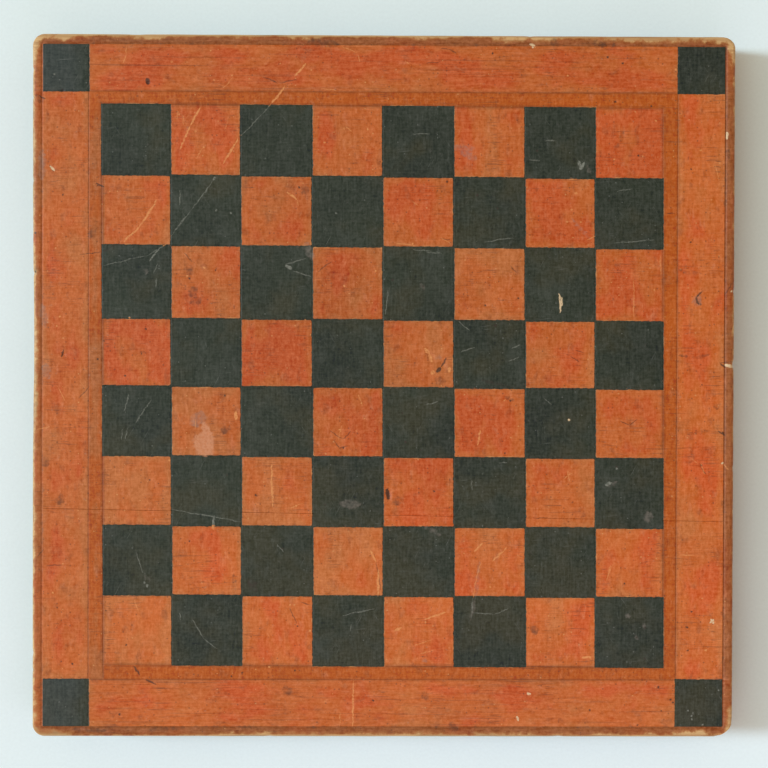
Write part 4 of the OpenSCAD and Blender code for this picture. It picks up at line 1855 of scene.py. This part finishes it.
@dataclass(frozen=True)
class Coats:
    """Thin coats brushed on by hand, made by a node tree from flat four-sided outlines."""

    layout: Layout
    thickness: float = 0.05 * MM
    unevenness: float = 0.35 * MM
    wave: float = 7.0 * MM
    levels: int = 4
    weld: float = 0.001 * MM
    tree_name: str = "Brushed coat"

    def square_outlines(self) -> list[list[Spot]]:
        """The dark playing squares, each between its scribed lines.

        Returns:
            One flat outline for each square.
        """
        lay = self.layout
        inset = lay.paint_inset
        outlines = []
        for i in range(lay.squares):
            for j in range(lay.squares):
                if (i + j) % 2:
                    continue
                corners = ((i, j + 1, 1, 1), (i + 1, j + 1, -1, 1), (i + 1, j, -1, -1), (i, j, 1, -1))
                found = [(lay.crossing(p, q), sx, sy) for p, q, sx, sy in corners]
                outlines.append([(x + sx * inset, y + sy * inset) for (x, y), sx, sy in found])
        return outlines

    def corner_outlines(self) -> list[list[Spot]]:
        """The dark squares in the corners of the border, out to the lip of the groove.

        Returns:
            One flat outline for each corner.
        """
        lay = self.layout
        lip = lay.corner
        outlines = []
        for sx, side_x in ((-1, Side.LEFT), (1, Side.RIGHT)):
            for sy, side_y in ((-1, Side.FRONT), (1, Side.BACK)):
                near_x = lay.border(side_x).place + sx * lay.paint_inset
                near_y = lay.border(side_y).place + sy * lay.paint_inset
                ring = [(near_x, near_y), (sx * lip, near_y), (sx * lip, sy * lip), (near_x, sy * lip)]
                outlines.append(ring if sx * sy > 0 else ring[::-1])
        return outlines

    def tree(self) -> bpy.types.NodeTree:
        """The node tree that turns flat outlines into closed coats with uneven edges.

        Returns:
            A geometry tree for a modifier.
        """
        known = bpy.data.node_groups.get(self.tree_name)
        if known:
            return known
        tree = bpy.data.node_groups.new(self.tree_name, "GeometryNodeTree")
        for name, kind in (("Outlines", "NodeSocketGeometry"), ("Thickness", "NodeSocketFloat"),
                           ("Unevenness", "NodeSocketFloat"), ("Wave", "NodeSocketFloat"),
                           ("Finish", "NodeSocketMaterial")):
            tree.interface.new_socket(name, in_out="INPUT", socket_type=kind)
        tree.interface.new_socket("Coats", in_out="OUTPUT", socket_type="NodeSocketGeometry")
        sketch = Sketch(tree)
        given = sketch.node("NodeGroupInput").outputs
        fine = sketch.node("GeometryNodeSubdivideMesh", {0: given["Outlines"], 1: self.levels})
        place = sketch.node("GeometryNodeInputPosition").outputs[0]
        pace = sketch.math("DIVIDE", 1.0, given["Wave"])
        noise = sketch.node("ShaderNodeTexNoise", {"Vector": place, "Scale": pace, "Detail": 2.0})
        even = sketch.vector("SUBTRACT", noise.outputs["Color"], (NOISE_MIDDLE,) * 3)
        flat = sketch.vector("MULTIPLY", even, (1, 1, 0))
        shift = sketch.vector("SCALE", flat, scale=given["Unevenness"])
        wavy = sketch.node("GeometryNodeSetPosition", {"Geometry": fine.outputs[0], "Offset": shift})
        raised = sketch.node("GeometryNodeExtrudeMesh",
                             {"Mesh": wavy.outputs[0], "Offset": (0, 0, 1),
                              "Offset Scale": given["Thickness"], "Individual": False})
        under = sketch.node("GeometryNodeFlipFaces", {"Mesh": wavy.outputs[0]})
        joined = sketch.node("GeometryNodeJoinGeometry")
        for part in (raised, under):
            tree.links.new(part.outputs[0], joined.inputs[0])
        merged = sketch.node("GeometryNodeMergeByDistance",
                             {"Geometry": joined.outputs[0], "Distance": self.weld})
        real = sketch.node("GeometryNodeRealizeInstances", {"Geometry": merged.outputs[0]})
        done = sketch.node("GeometryNodeSetMaterial",
                           {"Geometry": real.outputs[0], "Material": given["Finish"]})
        end = sketch.node("NodeGroupOutput")
        tree.links.new(done.outputs[0], end.inputs["Coats"])
        return tree

    def coat(self, node: str, outlines: Sequence[Sequence[Spot]],
             finish: bpy.types.Material) -> None:
        """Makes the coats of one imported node.

        Args:
            node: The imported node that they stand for.
            outlines: Their flat outlines.
            finish: Their material.
        """
        points = [(*spot, self.layout.face_z) for outline in outlines for spot in outline]
        count = len(outlines[0])
        faces = [range(first, first + count) for first in range(0, len(points), count)]
        mesh = bpy.data.meshes.new(node)
        mesh.from_pydata(points, [], [list(face) for face in faces])
        piece = plain_object(node + "_dressed", mesh)
        tree = self.tree()
        modifier = piece.modifiers.new("coat", "NODES")
        modifier.node_group = tree
        sockets = {item.name: item.identifier for item in tree.interface.items_tree
                   if item.in_out == "INPUT"}
        for name, value in (("Thickness", self.thickness), ("Unevenness", self.unevenness),
                            ("Wave", self.wave), ("Finish", finish)):
            modifier[sockets[name]] = value
        frozen_result(piece)
        finish_piece(piece, "dark_paint", node)

    def make(self) -> None:
        """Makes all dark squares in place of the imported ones."""
        finish = DarkPaint().material()
        self.coat("dark_squares", self.square_outlines(), finish)
        self.coat("corner_squares", self.corner_outlines(), finish)


def frozen_result(piece: bpy.types.Object) -> None:
    """Turns a piece with a modifier into the plain mesh that the modifier gives."""
    graph = bpy.context.evaluated_depsgraph_get()
    mesh = bpy.data.meshes.new_from_object(piece.evaluated_get(graph))
    piece.modifiers.clear()
    piece.data = mesh


# The back

@dataclass(frozen=True)
class Back:
    """Finishes for the battens and screws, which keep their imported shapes."""

    battens: tuple[str, str] = ("left_batten", "right_batten")
    screws: str = "batten_screws"
    pine: AgedPine = AgedPine("Batten pine", pale=(0.50, 0.33, 0.16),
                              rings=Grain((2.4, 110.0, 2.4), 3, 0.6),
                              fibres=Grain((0.35, 18.0, 0.35)))
    steel: OldSteel = OldSteel()

    def make(self) -> None:
        """Gives the battens and the screws their finishes."""
        pine, steel = self.pine.material(), self.steel.material()
        for name, finish in (*((batten, pine) for batten in self.battens), (self.screws, steel)):
            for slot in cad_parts[name].material_slots:
                slot.material = finish
            logger.info("%s: packed shape, %s", name, finish.name)


# Studio

@dataclass(frozen=True)
class Lamp:
    """A soft light, placed by its direction from the board's centre."""

    name: str
    azimuth: float
    elevation: float
    distance: float
    wide: float
    tall: float
    share: float
    colour: Colour

    def make(self) -> bpy.types.Object:
        """Makes the light, so that it adds its share of plain white light to the face.

        Returns:
            The lamp.
        """
        light = bpy.data.lights.new(self.name, "AREA")
        light.shape = "RECTANGLE"
        light.size, light.size_y = self.wide, self.tall
        light.color = self.colour
        up = math.sin(self.elevation)
        flat = math.cos(self.elevation)
        way = Vector((flat * math.cos(self.azimuth), flat * math.sin(self.azimuth), up))
        light.energy = self.share * math.pi ** 2 * self.distance ** 2 / up
        lamp = bpy.data.objects.new(self.name, light)
        lamp.location = way * self.distance
        lamp.rotation_euler = way.to_track_quat("Z", "Y").to_euler()
        bpy.context.scene.collection.objects.link(lamp)
        return lamp


@dataclass(frozen=True)
class Studio:
    """The pale floor, the lights and the camera."""

    face_z: float
    floor_reach: float = 4.0
    lens_mm: float = 75.0
    sensor_mm: float = 36.0
    clip: tuple[float, float] = (0.05, 50)
    yaw: float = math.radians(0.5375)
    pitch: float = math.radians(0.579)
    roll: float = math.radians(-0.167)
    board_from_camera: tuple[float, float, float] = (-0.02 * MM, -1.43 * MM, -871.28 * MM)
    ambient: Colour = (0.50, 0.375, 0.268)
    backdrop: Colour = (0.78, 0.85, 0.84)
    lamps: tuple[Lamp, ...] = (
        Lamp("strip", azimuth=math.radians(173), elevation=math.radians(47), distance=12.0,
             wide=1.0, tall=15.0, share=0.315, colour=(0.73, 1.0, 0.98)),
        Lamp("window", azimuth=math.radians(174), elevation=math.radians(35), distance=12.0,
             wide=2.0, tall=5.0, share=0.285, colour=(0.88, 1.0, 1.30)),
        Lamp("fill", azimuth=math.radians(-72), elevation=math.radians(49), distance=0.65,
             wide=0.5, tall=0.3, share=0.06, colour=(1.15, 1.0, 1.5)),
    )

    def floor(self) -> bpy.types.Object:
        """Makes the floor."""
        reach = self.floor_reach
        mesh = bpy.data.meshes.new("floor")
        corners = ((-1, -1), (1, -1), (1, 1), (-1, 1))
        mesh.from_pydata([(x * reach, y * reach, 0) for x, y in corners], [], [(0, 1, 2, 3)])
        mesh.materials.append(PaleWall().material())
        piece = plain_object("floor", mesh)
        return piece

    def world(self) -> None:
        """Sets the soft light from all round, and the pale backdrop that eyes and gloss see."""
        world = bpy.data.worlds.new("studio")
        world.use_nodes = True
        sketch = Sketch(world.node_tree)
        background = world.node_tree.nodes["Background"]
        rays = sketch.node("ShaderNodeLightPath")
        seen = rays.outputs["Is Camera Ray"]
        for name in ("Is Transmission Ray", "Is Glossy Ray"):
            seen = sketch.math("MAXIMUM", seen, rays.outputs[name])
        colour = sketch.mix(seen, self.ambient, self.backdrop)
        world.node_tree.links.new(colour, background.inputs["Color"])
        bpy.context.scene.world = world

    def camera(self) -> None:
        """Makes the camera at the photograph's point of view."""
        data = bpy.data.cameras.new("camera")
        data.lens, data.sensor_width = self.lens_mm, self.sensor_mm
        data.clip_start, data.clip_end = self.clip
        camera = bpy.data.objects.new("camera", data)
        turn = (Matrix.Rotation(-self.yaw, 4, "Y") @ Matrix.Rotation(-self.pitch, 4, "X")
                @ Matrix.Rotation(-self.roll, 4, "Z"))
        spot = turn @ -Vector(self.board_from_camera)
        camera.matrix_world = Matrix.Translation(spot + Vector((0, 0, self.face_z))) @ turn
        bpy.context.scene.collection.objects.link(camera)
        bpy.context.scene.camera = camera

    def make(self) -> None:
        """Makes the whole studio."""
        self.floor()
        self.world()
        for lamp in self.lamps:
            lamp.make()
        self.camera()
        bpy.context.scene.view_settings.view_transform = "Standard"


def main() -> None:
    """Builds the board's pieces in order, and the studio round them."""
    logging.basicConfig(level=logging.INFO, format="%(name)s: %(message)s")
    layout = Layout.of_frame()
    Panel(layout).make()
    Coats(layout).make()
    Back().make()
    Studio(layout.face_z).make()


if __name__ == "__main__":
    main()
